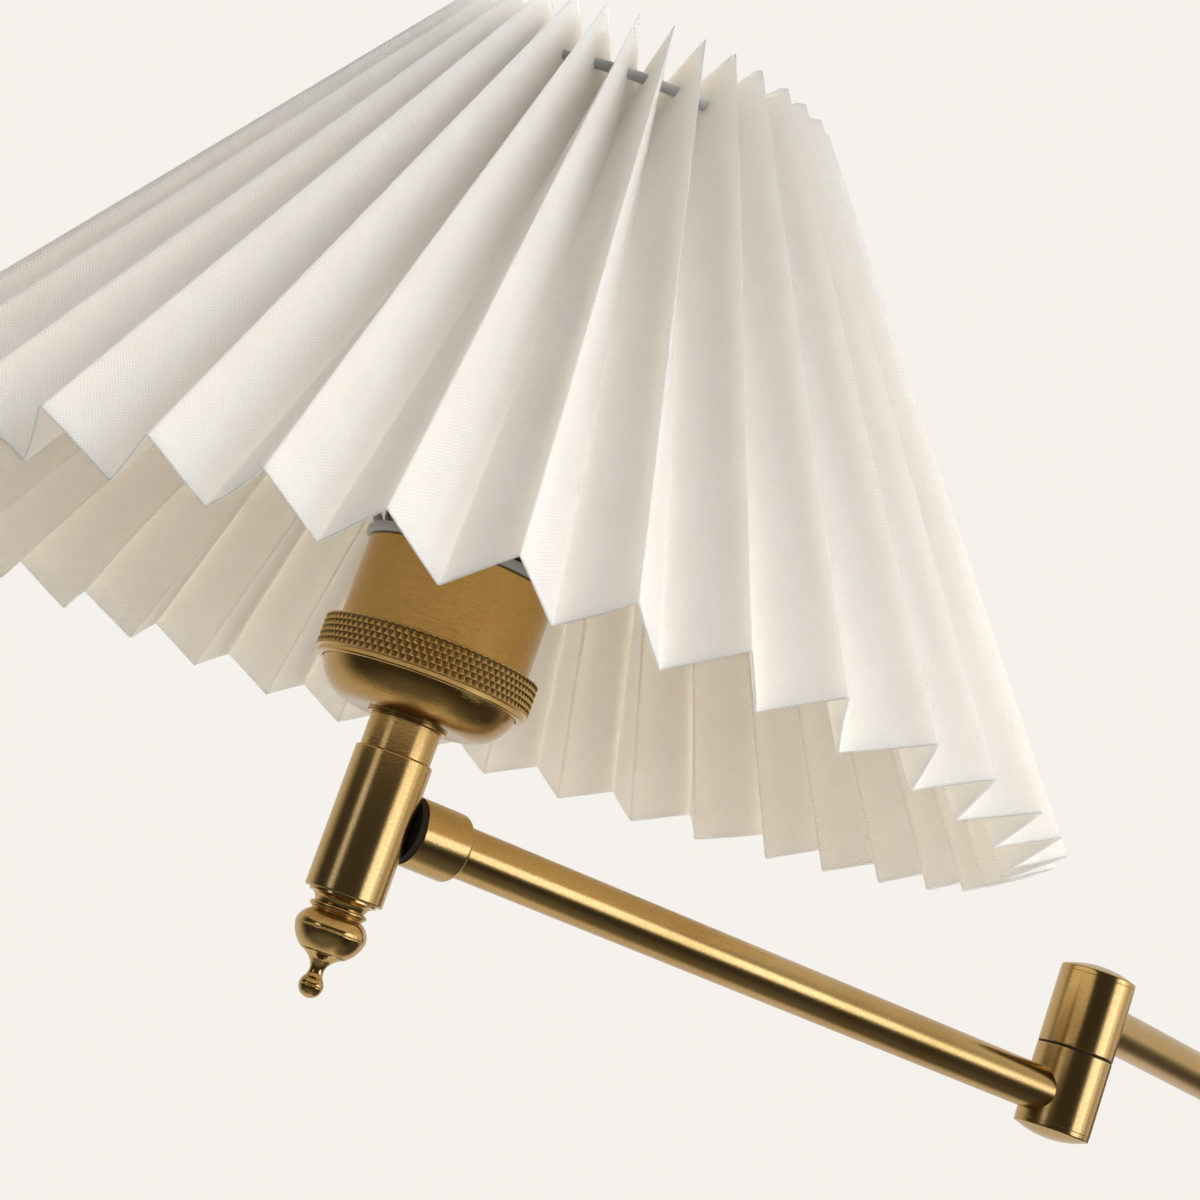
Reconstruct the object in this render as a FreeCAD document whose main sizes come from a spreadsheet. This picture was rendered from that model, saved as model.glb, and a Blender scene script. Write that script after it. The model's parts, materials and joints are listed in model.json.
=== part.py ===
import FreeCAD, Part
import math
import os
import re
import Sketcher
from FreeCAD import Placement, Rotation, Vector

# Articulating wall lamp: a round backplate carries a stub with a vertical pivot, a rear arm,
# a second pivot (the elbow) and a front arm. The lampholder turns about the front arm's end
# and carries a pleated fabric shade on a wire frame.
# Millimetres. +Z is up, the wall is the plane Y = 0 and the lamp stands out towards -Y.

SIZES = {
    # Reach and layout
    "stand_off": 52.0,              # wall to the axis of the wall pivot
    "rear_reach": 200.0,            # wall pivot axis to elbow axis
    "front_reach": 206.0,           # elbow axis to the axis of the lampholder
    "rest_bend": 16.0,              # degrees that the elbow is bent in the rest pose
    "arm_rise": 20.5,               # rear arm axis above front arm axis
    # Arm tubes
    "arm_radius": 5.5,
    "arm_bore": 4.5,
    # Knuckles, alike at the wall and at the elbow
    "knuckle_radius": 9.25,
    "knuckle_bore": 7.4,
    "knuckle_drop": 7.1,            # lower arm axis down to the lower cap
    "split_height": 11.2,           # lower arm axis up to the friction washer
    "washer_thick": 0.5,
    "end_wall": 2.4,
    "knuckle_rise": 9.3,            # upper arm axis up to the upper cap
    "cap_thick": 1.4,
    "cap_round": 0.5,
    "cap_crown": 1.8,               # the crowned end beyond the cap's edge
    "cap_sphere": 22.2,
    "cap_tip": 0.8,                 # flat turned in the middle of the crown
    "cap_spigot": 1.6,
    "tube_seat": 7.0,               # pivot axis to the end of the brazed tube
    "slip": 0.05,                   # clearance of parts that turn on each other or plug in
    # Hollow pivot bolt of a knuckle
    "pivot_radius": 4.0,
    "pivot_bore": 2.7,
    "pivot_head_radius": 6.5,
    "pivot_head_thick": 1.5,
    "spring_thick": 0.6,
    "spring_radius": 6.2,
    "pivot_nut_radius": 6.4,
    "pivot_nut_thick": 2.6,
    # Swivel between front arm and lampholder
    "collar_radius": 7.3,
    "collar_start": 8.7,            # lampholder axis to the near face of the collar
    "collar_web": 4.2,
    "collar_length": 12.0,
    "collar_round": 1.2,
    "stud_radius": 3.4,
    "stud_bore": 2.3,
    "stud_head_radius": 4.5,
    "stud_head_start": 3.3,
    "stud_head_thick": 1.8,
    "stud_spring_thick": 0.5,
    "swivel_washer_radius": 7.0,
    "swivel_seat": 7.3,             # lampholder axis to the flat that the washer bears on
    # Post below the lampholder
    "post_radius": 8.1,
    "post_bore": 5.0,
    "post_top": 12.7,
    "post_bottom": -17.0,
    "post_floor": -9.0,
    "post_edge": 0.4,
    "finial_thread": 3.0,
    "finial_plug": 7.0,
    # Finial, heights measured down from the post
    "finial_rim_radius": 6.9,
    "finial_rim": 0.6,
    "cove_radius": 5.2,
    "cove_depth": 2.1,
    "bead_radius": 5.9,
    "bead_depth": 2.8,
    "groove_radius": 5.4,
    "groove_depth": 3.7,
    "acorn_radius": 7.4,
    "acorn_depth": 7.4,
    "acorn_low_radius": 5.3,
    "acorn_low_depth": 11.4,
    "stalk_top_radius": 2.3,
    "stalk_top_depth": 13.5,
    "stalk_radius": 1.5,
    "stalk_depth": 15.2,
    "ball_neck_radius": 1.8,
    "ball_neck_depth": 16.7,
    "ball_radius": 2.5,
    "ball_depth": 18.5,
    # Neck
    "neck_radius": 7.4,
    "neck_length": 7.0,
    "nipple_bore": 3.6,
    "nipple_start": 6.0,
    "nipple_end": 24.4,
    "neck_nut_radius": 8.0,
    "neck_nut_thick": 2.4,
    # Lampholder shell: dome, knurled ring and cup
    "shell_wall": 1.0,
    "neck_lip_radius": 8.4,
    "neck_lip": 0.6,
    "dome_flat_radius": 10.5,
    "dome_radius": 20.6,
    "dome_rise": 8.5,               # from the neck to where the dome stands upright
    "dome_curve": 8.8,
    "dome_rim": 5.0,
    "core_ledge": 2.9,              # depth of the rebate that seats the porcelain core
    "ledge_radius": 18.4,
    "knurl_radius": 22.6,
    "knurl_start": 27.2,
    "knurl_height": 8.2,
    "knurl_lip": 1.3,
    "knurl_lip_radius": 21.8,
    "cup_radius": 20.0,
    "cup_top": 53.4,
    "cup_edge": 0.6,
    "thread_radius": 15.6,
    "thread_bore": 14.8,
    "thread_rise": 8.0,
    # Shade carrier and lock ring
    "carrier_radius": 21.0,
    "carrier_thick": 2.0,
    "lock_foot_radius": 16.9,
    "lock_radius": 18.6,
    "lock_flare": 2.6,
    "lock_height": 7.0,
    "lock_round": 2.0,
    # Porcelain core, screw shell and contact
    "core_radius": 15.5,
    "core_bottom": 27.6,
    "core_neck_radius": 14.3,
    "core_top": 38.6,
    "core_bore": 1.6,
    "screw_shell_radius": 14.2,
    "screw_shell_bore": 13.5,
    "screw_shell_height": 20.0,
    "screw_shell_floor": 0.8,
    "contact_radius": 4.0,
    "contact_thick": 1.8,
    "terminal_spread": 9.0,
    "terminal_radius": 2.6,
    "terminal_drop": 2.2,
    "terminal_shank": 1.5,
    # Bulb
    "cap_radius": 13.1,
    "bulb_start": 40.7,
    "bulb_tip_radius": 4.6,
    "bulb_tip": 1.2,
    "bulb_cone": 2.6,
    "bulb_cap_height": 25.0,
    "glass_wall": 0.8,
    "glass_neck_radius": 14.0,
    "glass_neck_rise": 8.0,
    "glass_radius": 30.0,
    "glass_rise": 48.0,             # from the cap to the widest part
    # Pleated shade
    "pleats": 40,
    "pleat_start": -153.0,          # degrees from the front arm to the first ridge
    "shade_bottom": 35.0,           # where the ridges end
    "shade_height": 126.0,          # of the ridges
    "ridge_bottom_radius": 132.5,
    "valley_bottom_radius": 123.0,
    "ridge_top_radius": 44.0,
    "valley_top_radius": 31.6,
    "fabric_thick": 0.5,
    # Wire frame of the shade
    "ring_depth": 12.0,             # ring below the top of the shade
    "ring_radius": 42.0,
    "wire_radius": 1.1,
    "hole_radius": 2.0,
    "spokes": 4,
    "spoke_radius": 1.0,
    "spoke_foot_radius": 19.6,
    "spoke_bend_height": 80.0,
    "spoke_bend": 14.0,
    # Backplate on the wall
    "plate_radius": 55.0,
    "plate_depth": 22.0,
    "plate_wall": 1.4,
    "plate_round": 6.0,
    "stem_flange_radius": 11.0,
    "stem_flange": 3.0,
    "stem_thread": 5.0,
    "stem_bore": 3.2,
    "stem_tail": 9.0,
    "stem_washer_radius": 9.0,
    "stem_washer_thick": 1.0,
    "stem_nut_radius": 9.2,
    "stem_nut_thick": 4.0,
    # Bracket behind the backplate
    "strap_length": 98.0,
    "strap_width": 24.0,
    "strap_thick": 2.0,
    "strap_corner": 4.0,
    "cable_hole": 7.0,
    "slot_spacing": 54.0,
    "slot_radius": 2.3,
    "slot_length": 10.0,            # between the centres of the slot's ends
    "pillar_spacing": 84.0,
    "pillar_radius": 3.5,
    "screw_radius": 2.0,
    "screw_head_radius": 4.2,
    "screw_head": 2.4,
    "screw_reach": 10.0,
    "driver_slot": 0.9,
    "driver_depth": 1.0,
    # Terminal block and earth screw
    "block_width": 27.0,
    "block_depth": 9.0,
    "block_height": 12.0,
    "block_drop": -26.0,            # height of the block's centre
    "block_ways": 3,
    "block_pitch": 8.0,
    "way_radius": 1.6,
    "clamp_radius": 1.7,
    "block_margin": 1.5,            # strap tab beyond the block
    "earth_offset": 13.5,
    "earth_head_radius": 3.4,
    "earth_head": 2.2,
    "earth_washer_radius": 4.2,
    "earth_washer_thick": 0.6,
    # Leads
    "lead_radius": 0.95,
    "lead_gap": 0.15,
    "lead_bend": 5.0,
    "head_lead_bend": 2.6,
    "lead_rise": 10.0,              # straight run above the terminal block
    "lead_end": 0.1,                # between the leads on the two sides of a pivot
}

document = FreeCAD.newDocument("WallLamp")
sheet = document.addObject("Spreadsheet::Sheet", "Sizes")
for row, (alias, amount) in enumerate(SIZES.items(), start=1):
    sheet.set(f"A{row}", alias)
    sheet.set(f"B{row}", str(amount))
    sheet.setAlias(f"B{row}", alias)
document.recompute()


def number(text):
    """The value of a sum of products of named sizes, such as 'post_top + 2 * slip'."""
    total = 0.0
    for sign, term in re.findall(r"([+-]?)([^+-]+)", text.replace(" ", "")):
        product = -1.0 if sign == "-" else 1.0
        for operator, factor in re.findall(r"([*/]?)([^*/]+)", term):
            amount = float(factor) if factor[0].isdigit() else float(getattr(sheet, factor))
            product = product / amount if operator == "/" else product * amount
        total += product
    return total


def bound(text):
    """The same sum, written as an expression on the sheet."""
    return re.sub(r"([a-z][a-z_]*)", r"Sizes.\1", text)


# Sketches and features ----------------------------------------------------------------------

def origin_feature(body, role):
    """The named plane or axis of a body's own origin."""
    return next(item for item in body.Origin.OriginFeatures if item.Role == role)


def fix_point(sketch, edge, end, across, up):
    """Ties a sketch point to the sums `across` and `up`; zero puts it on that axis."""
    for text, axis, kind in ((across, -2, "DistanceX"), (up, -1, "DistanceY")):
        if text == "0":
            sketch.addConstraint(Sketcher.Constraint("PointOnObject", edge, end, axis))
            continue
        index = sketch.addConstraint(
            Sketcher.Constraint(kind, -1, 1, edge, end, number(text)))
        sketch.setExpression(f"Constraints[{index}]", bound(text))


def arc_between(start, end, radius):
    """The arc of under a half circle from start to end; its middle lies to the right of the
    way for a positive radius and to the left for a negative one."""
    chord = end - start
    half = chord.Length / 2
    way = chord.normalize()
    left = Vector(-way.y, way.x, 0)
    side = 1.0 if radius > 0 else -1.0
    centre = start + way * half + left * side * math.sqrt(radius ** 2 - half ** 2)
    first, last = (start, end) if side > 0 else (end, start)
    circle = Part.Circle(centre, Vector(0, 0, 1), abs(radius))
    return Part.ArcOfCircle(circle, circle.parameter(first), circle.parameter(last)), side > 0


HOLLOW = "hollow"


def closed_outline(sketch, outline):
    """Draws (across, up), (across, up, radius) or (across, up, radius, HOLLOW) corners, listed
    anticlockwise, as a closed outline of lines and arcs. The radius belongs to the stretch
    that leaves its corner, which bulges outwards unless it is marked as hollow."""
    corners = [Vector(number(corner[0]), number(corner[1]), 0) for corner in outline]
    starts = []
    ends = []
    for place, corner in enumerate(outline):
        here = corners[place]
        there = corners[(place + 1) % len(corners)]
        if len(corner) == 2:
            sketch.addGeometry(Part.LineSegment(here, there))
            starts.append((place, 1))
            ends.append((place, 2))
            continue
        side = -1 if corner[-1] == HOLLOW else 1
        arc, forward = arc_between(here, there, side * number(corner[2]))
        sketch.addGeometry(arc)
        starts.append((place, 1 if forward else 2))
        ends.append((place, 2 if forward else 1))
    for place, corner in enumerate(outline):
        sketch.addConstraint(Sketcher.Constraint("Coincident", *ends[place - 1], *starts[place]))
        fix_point(sketch, *starts[place], corner[0], corner[1])
        if len(corner) > 2:
            index = sketch.addConstraint(Sketcher.Constraint("Radius", place, number(corner[2])))
            sketch.setExpression(f"Constraints[{index}]", bound(corner[2]))


def body_sketch(body, role, name):
    """An empty sketch on one of the body's origin planes."""
    sketch = body.newObject("Sketcher::SketchObject", name)
    sketch.AttachmentSupport = (origin_feature(body, role), [""])
    sketch.MapMode = "FlatFace"
    return sketch


def turned(name, outline):
    """A body turned about its own Z axis from an outline of (radius, height) corners."""
    body = document.addObject("PartDesign::Body", name)
    sketch = body_sketch(body, "XZ_Plane", f"{name}_outline")
    closed_outline(sketch, outline)
    turn = body.newObject("PartDesign::Revolution", f"{name}_turn")
    turn.Profile = sketch
    turn.ReferenceAxis = (sketch, ["V_Axis"])
    turn.Angle = 360
    return body


def ring(name, inner, outer, bottom, top):
    """A plain ring about the Z axis."""
    return turned(name, [(inner, bottom), (outer, bottom), (outer, top), (inner, top)])


def solid_rod(name, radius, length, start=("0", "0", "0"), rotation=Rotation()):
    """A cylinder of the given sums, from `start` along the Z axis of `rotation`."""
    rod = document.addObject("Part::Cylinder", name)
    rod.setExpression("Radius", bound(radius))
    rod.setExpression("Height", bound(length))
    rod.Placement = Placement(Vector(), rotation)
    for axis, text in zip("xyz", start):
        rod.setExpression(f".Placement.Base.{axis}", bound(text))
    return rod


def solid_block(name, sizes, corner):
    """A box of three sums, from its lowest corner."""
    block = document.addObject("Part::Box", name)
    for side, text in zip(("Length", "Width", "Height"), sizes):
        block.setExpression(side, bound(text))
    for axis, text in zip("xyz", corner):
        block.setExpression(f".Placement.Base.{axis}", bound(text))
    return block


def cut(name, base, *tools):
    """The base with the tools taken away."""
    result = document.addObject("Part::Cut", name)
    result.Base = base
    result.Tool = tools[0] if len(tools) == 1 else joined(f"{name}_tools", *tools)
    return result


def joined(name, *pieces):
    """Several solids as one piece."""
    result = document.addObject("Part::MultiFuse", name)
    result.Shapes = list(pieces)
    return result


def hexagon(name, radius, bore, bottom, height):
    """A plain hexagon nut about the Z axis; `radius` reaches its corners."""
    prism = document.addObject("Part::Prism", f"{name}_blank")
    prism.Polygon = 6
    prism.setExpression("Circumradius", bound(radius))
    prism.setExpression("Height", bound(height))
    prism.setExpression(".Placement.Base.z", bound(bottom))
    hole = solid_rod(f"{name}_hole", bore, height, ("0", "0", bottom))
    return cut(name, prism, hole)


ALONG_X = Rotation(Vector(0, 1, 0), 90)
TOWARDS_ROOM = Rotation(Vector(1, 0, 0), 90)
NODES = {}


def node(name, piece, place=Placement()):
    """Names a piece and puts it in its place."""
    piece.Label = name
    piece.Placement = place
    NODES[name] = piece


def upright(reach, turn):
    """A place at the end of a run of (length, heading) steps from the wall, turned about Z."""
    point = Vector()
    for length, heading in reach:
        point += Rotation(Vector(0, 0, 1), heading).multVec(Vector(length, 0, 0))
    return Placement(point, Rotation(Vector(0, 0, 1), turn))


OUT = -90.0                                      # heading straight out of the wall
FRONT = OUT - number("rest_bend")                # heading of the front arm at rest
TO_WALL = [(number("stand_off"), OUT)]
TO_ELBOW = TO_WALL + [(number("rear_reach"), OUT)]
TO_POST = TO_ELBOW + [(number("front_reach"), FRONT)]

WALL_LOWER = upright(TO_WALL, OUT + 180)         # local +X runs to the tube that enters
WALL_UPPER = upright(TO_WALL, OUT)
ELBOW_UPPER = upright(TO_ELBOW, OUT + 180)
ELBOW_LOWER = upright(TO_ELBOW, FRONT)
POST = upright(TO_POST, FRONT + 180)             # local +X runs back along the front arm
FACE = Placement(Vector(), TOWARDS_ROOM)         # local +Z stands out of the wall


# Knuckles -----------------------------------------------------------------------------------

SPLIT_TOP = "split_height + washer_thick"


def lower_knuckle(place_name, place):
    """The lower half of a pivot: a cup with its end wall on top, a brazed side tube at height
    zero and a plug-in cap below."""
    sleeve = turned(f"{place_name}_sleeve", [
        ("knuckle_bore", "0 - knuckle_drop"),
        ("knuckle_radius", "0 - knuckle_drop"),
        ("knuckle_radius", "split_height"),
        ("pivot_radius + slip", "split_height"),
        ("pivot_radius + slip", "split_height - end_wall"),
        ("knuckle_bore", "split_height - end_wall")])
    mouth = solid_rod(f"{place_name}_mouth", "arm_radius", "knuckle_radius + 1", rotation=ALONG_X)
    node(f"{place_name}_knuckle_lower", cut(f"{place_name}_lower", sleeve, mouth), place)
    cap(f"{place_name}_cap_lower", "0 - knuckle_drop", False, place)


def upper_knuckle(place_name, place):
    """The upper half of a pivot: its end wall is below, threaded for the pivot bolt."""
    top = "arm_rise + knuckle_rise"
    sleeve = turned(f"{place_name}_cover", [
        ("pivot_radius", SPLIT_TOP),
        ("knuckle_radius", SPLIT_TOP),
        ("knuckle_radius", top),
        ("knuckle_bore", top),
        ("knuckle_bore", f"{SPLIT_TOP} + end_wall"),
        ("pivot_radius", f"{SPLIT_TOP} + end_wall")])
    mouth = solid_rod(f"{place_name}_inlet", "arm_radius", "knuckle_radius + 1",
                      ("0", "0", "arm_rise"), ALONG_X)
    node(f"{place_name}_knuckle_upper", cut(f"{place_name}_upper", sleeve, mouth), place)
    cap(f"{place_name}_cap_upper", top, True, place)


def cap(name, seat, above, place):
    """A crowned, round-edged cap with a spigot that plugs into the end of a knuckle."""
    out, into = ("+", "-") if above else ("-", "+")
    rim = f"{seat} {out} cap_thick {into} cap_round"
    face = f"{seat} {out} cap_thick"
    outline = [
        ("0", f"{seat} {into} cap_spigot"),
        ("knuckle_bore - slip", f"{seat} {into} cap_spigot"),
        ("knuckle_bore - slip", seat),
        ("knuckle_radius", seat)]
    if above:
        outline += [("knuckle_radius", rim, "cap_round"),
                    ("knuckle_radius - cap_round", face, "cap_sphere")]
    else:
        outline += [("knuckle_radius", rim, "cap_round", HOLLOW),
                    ("knuckle_radius - cap_round", face, "cap_sphere", HOLLOW)]
    crown = f"{face} {out} cap_crown"
    node(name, turned(name, outline + [("cap_tip", crown), ("0", crown)]), place)


def pivot(place_name, place):
    """What holds two knuckles together: a hollow bolt whose head presses a spring washer up
    against the lower end wall, a friction washer in the split and a lock nut on top."""
    seat = "split_height - end_wall - spring_thick - slip"
    nut_seat = f"{SPLIT_TOP} + end_wall"
    node(f"{place_name}_pivot_bolt", turned(f"{place_name}_bolt", [
        ("pivot_bore", f"{seat} - pivot_head_thick"),
        ("pivot_head_radius", f"{seat} - pivot_head_thick"),
        ("pivot_head_radius", seat),
        ("pivot_radius", seat),
        ("pivot_radius", f"{nut_seat} + pivot_nut_thick"),
        ("pivot_bore", f"{nut_seat} + pivot_nut_thick")]), place)
    node(f"{place_name}_spring_washer", ring(f"{place_name}_spring", "pivot_radius + slip",
         "spring_radius", f"{seat} + slip", "split_height - end_wall"), place)
    node(f"{place_name}_friction_washer", ring(f"{place_name}_washer", "pivot_radius + slip",
         "knuckle_radius - cap_round / 4", "split_height + slip", SPLIT_TOP), place)
    node(f"{place_name}_lock_nut", hexagon(f"{place_name}_nut", "pivot_nut_radius",
         "pivot_radius", nut_seat, "pivot_nut_thick"), place)


def arm_tube(name, length, height, place):
    """A tube along X from its seat in a knuckle."""
    pipe = turned(f"{name}_pipe", [
        ("arm_bore", "tube_seat"),
        ("arm_radius", "tube_seat"),
        ("arm_radius", length),
        ("arm_bore", length)])
    lift = Placement(Vector(0, 0, number(height)), ALONG_X)
    node(name, pipe, place.multiply(lift))


# Swivel and post ----------------------------------------------------------------------------

def swivel():
    """The collar on the front arm's end and the hollow stud that the lampholder turns on."""
    turned_place = POST.multiply(Placement(Vector(), ALONG_X))
    web_end = "collar_start + collar_web"
    collar_end = "collar_start + collar_length"
    node("swivel_collar", turned("collar", [
        ("stud_radius", "collar_start"),
        ("collar_radius", "collar_start"),
        ("collar_radius", f"{collar_end} - collar_round", "collar_round"),
        ("collar_radius - collar_round", collar_end),
        ("arm_radius", collar_end),
        ("arm_radius", web_end),
        ("stud_radius", web_end)]), turned_place)
    seat = "stud_head_start + stud_head_thick"
    node("swivel_stud", turned("stud", [
        ("stud_bore", "stud_head_start"),
        ("stud_head_radius", "stud_head_start"),
        ("stud_head_radius", seat),
        ("stud_radius", seat),
        ("stud_radius", web_end),
        ("stud_bore", web_end)]), turned_place)
    node("swivel_spring_washer", ring("swivel_spring", "stud_radius + slip",
         "stud_head_radius", f"{seat} + slip", f"{seat} + slip + stud_spring_thick"),
         turned_place)
    node("swivel_friction_washer", ring("swivel_washer", "stud_radius + slip",
         "swivel_washer_radius", "swivel_seat + slip", "collar_start"), turned_place)


def post():
    """The upright below the lampholder, bored for the nipple, the leads and the swivel stud."""
    blank = turned("post_blank", [
        ("0", "post_bottom"),
        ("post_radius - post_edge", "post_bottom"),
        ("post_radius", "post_bottom + post_edge"),
        ("post_radius", "post_top - post_edge"),
        ("post_radius - post_edge", "post_top"),
        ("0", "post_top")])
    shaft = solid_rod("post_shaft", "post_bore", "post_top - post_floor", ("0", "0", "post_floor"))
    thread = solid_rod("post_thread", "finial_thread", "post_floor - post_bottom",
                       ("0", "0", "post_bottom"))
    stud_hole = solid_rod("post_stud_hole", "stud_radius + slip", "post_radius",
                          rotation=ALONG_X)
    head_seat = solid_rod("post_head_seat", "stud_head_radius + 4 * slip",
                          "stud_head_start + stud_head_thick + slip + stud_spring_thick",
                          rotation=ALONG_X)
    washer_seat = solid_rod("post_washer_seat", "swivel_washer_radius + 4 * slip", "post_radius",
                            ("swivel_seat", "0", "0"), ALONG_X)
    node("post", cut("post_body", blank, shaft, thread, stud_hole, head_seat, washer_seat), POST)


def finial():
    """The turned drop below the post: cove, bead, acorn, stalk and ball, on a threaded plug."""
    def down(depth):
        return f"post_bottom - {depth}"
    node("finial", turned("finial_drop", [
        ("0", "post_bottom + finial_plug"),
        ("0", f"{down('ball_depth')} - ball_radius", "ball_radius"),
        ("ball_radius", down("ball_depth"), "ball_radius"),
        ("ball_neck_radius", down("ball_neck_depth"), "stalk_top_radius", HOLLOW),
        ("stalk_radius", down("stalk_depth"), "stalk_top_radius", HOLLOW),
        ("stalk_top_radius", down("stalk_top_depth")),
        ("acorn_low_radius", down("acorn_low_depth"), "acorn_radius"),
        ("acorn_radius", down("acorn_depth"), "acorn_depth / 2"),
        ("groove_radius", down("groove_depth")),
        ("bead_radius", down("bead_depth")),
        ("cove_radius", down("cove_depth"), "cove_depth", HOLLOW),
        ("finial_rim_radius", down("finial_rim")),
        ("finial_rim_radius", "post_bottom"),
        ("finial_thread", "post_bottom"),
        ("finial_thread", "post_bottom + finial_plug")]), POST)


# Lampholder ---------------------------------------------------------------------------------

NECK_TOP = "post_top + neck_length"
DOME_TOP = f"{NECK_TOP} + dome_rise + dome_rim"


def neck():
    """The threaded nipple, the sleeve around it and the nut inside the dome."""
    node("neck_nipple", ring("nipple", "nipple_bore", "post_bore", "nipple_start",
         "nipple_end"), POST)
    node("neck_sleeve", ring("sleeve", "post_bore + slip", "neck_radius", "post_top",
         NECK_TOP), POST)
    node("neck_nut", hexagon("dome_nut", "neck_nut_radius", "post_bore",
         f"{NECK_TOP} + neck_lip + shell_wall", "neck_nut_thick"), POST)


def dome():
    """The bowl at the bottom of the lampholder, with the ledge that the porcelain core sits on."""
    rise = f"{NECK_TOP} + dome_rise"
    floor = f"{NECK_TOP} + neck_lip"
    node("holder_dome", turned("dome", [
        ("post_bore + slip", NECK_TOP),
        ("neck_lip_radius", NECK_TOP),
        ("neck_lip_radius", floor),
        ("dome_flat_radius", floor, "dome_curve"),
        ("dome_radius", rise),
        ("dome_radius", DOME_TOP),
        ("dome_radius - shell_wall", DOME_TOP),
        ("dome_radius - shell_wall", f"{DOME_TOP} - core_ledge"),
        ("ledge_radius", f"{DOME_TOP} - core_ledge"),
        ("ledge_radius", rise, "dome_curve", HOLLOW),
        ("dome_flat_radius", f"{floor} + shell_wall"),
        ("post_bore + slip", f"{floor} + shell_wall")]), POST)


def knurled_ring():
    """The clamping ring that draws cup and dome together."""
    top = "knurl_start + knurl_height"
    lip = "knurl_start + knurl_lip"
    node("knurled_ring", turned("clamp_ring", [
        ("dome_radius + slip", "knurl_start"),
        ("knurl_lip_radius", "knurl_start"),
        ("knurl_lip_radius", lip),
        ("knurl_radius", lip),
        ("knurl_radius", top),
        ("cup_radius + slip", top),
        ("cup_radius + slip", DOME_TOP),
        ("dome_radius + slip", DOME_TOP)]), POST)


def cup():
    """The brass cup above the ring, with the threaded collar for the lock ring."""
    collar_top = "cup_top + thread_rise"
    node("holder_cup", turned("cup_shell", [
        ("cup_radius - shell_wall", DOME_TOP),
        ("cup_radius", DOME_TOP),
        ("cup_radius", "cup_top - cup_edge", "cup_edge"),
        ("cup_radius - cup_edge", "cup_top"),
        ("thread_radius", "cup_top"),
        ("thread_radius", collar_top),
        ("thread_bore", collar_top),
        ("thread_bore", "cup_top - shell_wall"),
        ("cup_radius - shell_wall", "cup_top - shell_wall")]), POST)


def lock_ring():
    """The dark ring that screws down on the shade carrier."""
    foot = "cup_top + carrier_thick"
    top = f"{foot} + lock_height"
    node("lock_ring", turned("lock", [
        ("thread_radius + slip", foot),
        ("lock_foot_radius", foot),
        ("lock_radius", f"{foot} + lock_flare"),
        ("lock_radius", f"{top} - lock_round", "lock_round"),
        ("lock_radius - lock_round", top),
        ("thread_radius + slip", top)]), POST)


def core():
    """The porcelain core with its screw shell, centre contact and terminal screws."""
    ledge = f"{DOME_TOP} - core_ledge"
    porcelain = turned("porcelain", [
        ("core_bore", "core_bottom"),
        ("core_radius", "core_bottom"),
        ("core_radius", ledge),
        ("dome_radius - shell_wall - 2 * slip", ledge),
        ("dome_radius - shell_wall - 2 * slip", DOME_TOP),
        ("core_neck_radius", DOME_TOP),
        ("core_neck_radius", "core_top"),
        ("core_bore", "core_top")])
    holes = [solid_rod(f"terminal_hole_{side}", "terminal_shank", "terminal_drop * 2",
                       (f"{sign} terminal_spread", "0", "core_bottom"))
             for side, sign in (("a", "0 +"), ("b", "0 -"))]
    node("porcelain_core", cut("core_body", porcelain, *holes), POST)
    node("screw_shell", turned("shell", [
        ("contact_radius * 1.5", "core_top"),
        ("screw_shell_radius", "core_top"),
        ("screw_shell_radius", "core_top + screw_shell_height"),
        ("screw_shell_bore", "core_top + screw_shell_height"),
        ("screw_shell_bore", "core_top + screw_shell_floor"),
        ("contact_radius * 1.5", "core_top + screw_shell_floor")]), POST)
    node("centre_contact", turned("contact", [
        ("0", "core_bottom"),
        ("core_bore", "core_bottom"),
        ("core_bore", "core_top"),
        ("contact_radius", "core_top"),
        ("contact_radius", "core_top + contact_thick"),
        ("0", "core_top + contact_thick")]), POST)
    screws = []
    for side, sign in (("a", "0 +"), ("b", "0 -")):
        across = f"{sign} terminal_spread"
        head = solid_rod(f"terminal_head_{side}", "terminal_radius", "terminal_drop",
                         (across, "0", "core_bottom - terminal_drop"))
        shank = solid_rod(f"terminal_shank_{side}", "terminal_shank", "terminal_drop * 2",
                          (across, "0", "core_bottom"))
        screws.append(joined(f"terminal_{side}", head, shank))
    group = document.addObject("Part::Compound", "terminals")
    group.Links = screws
    node("holder_terminals", group, POST)


def bulb():
    """A screw-cap bulb in the holder."""
    shoulder = "bulb_start + bulb_tip + bulb_cone"
    top = "bulb_start + bulb_cap_height"
    node("bulb_cap", turned("bulb_base", [
        ("0", "bulb_start"),
        ("bulb_tip_radius", "bulb_start"),
        ("bulb_tip_radius", "bulb_start + bulb_tip"),
        ("cap_radius", shoulder),
        ("cap_radius", top),
        ("0", top)]), POST)
    neck_top = f"{top} + glass_neck_rise"
    widest = f"{top} + glass_rise"
    crown = f"{widest} + glass_radius"
    node("bulb_glass", turned("bulb_globe", [
        ("cap_radius - glass_wall", top),
        ("cap_radius", top),
        ("glass_neck_radius", neck_top),
        ("glass_radius", widest, "glass_radius"),
        ("0", crown),
        ("0", f"{crown} - glass_wall", "glass_radius - glass_wall", HOLLOW),
        ("glass_radius - glass_wall", widest),
        ("glass_neck_radius - glass_wall", neck_top)]), POST)


# Shade --------------------------------------------------------------------------------------

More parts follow.
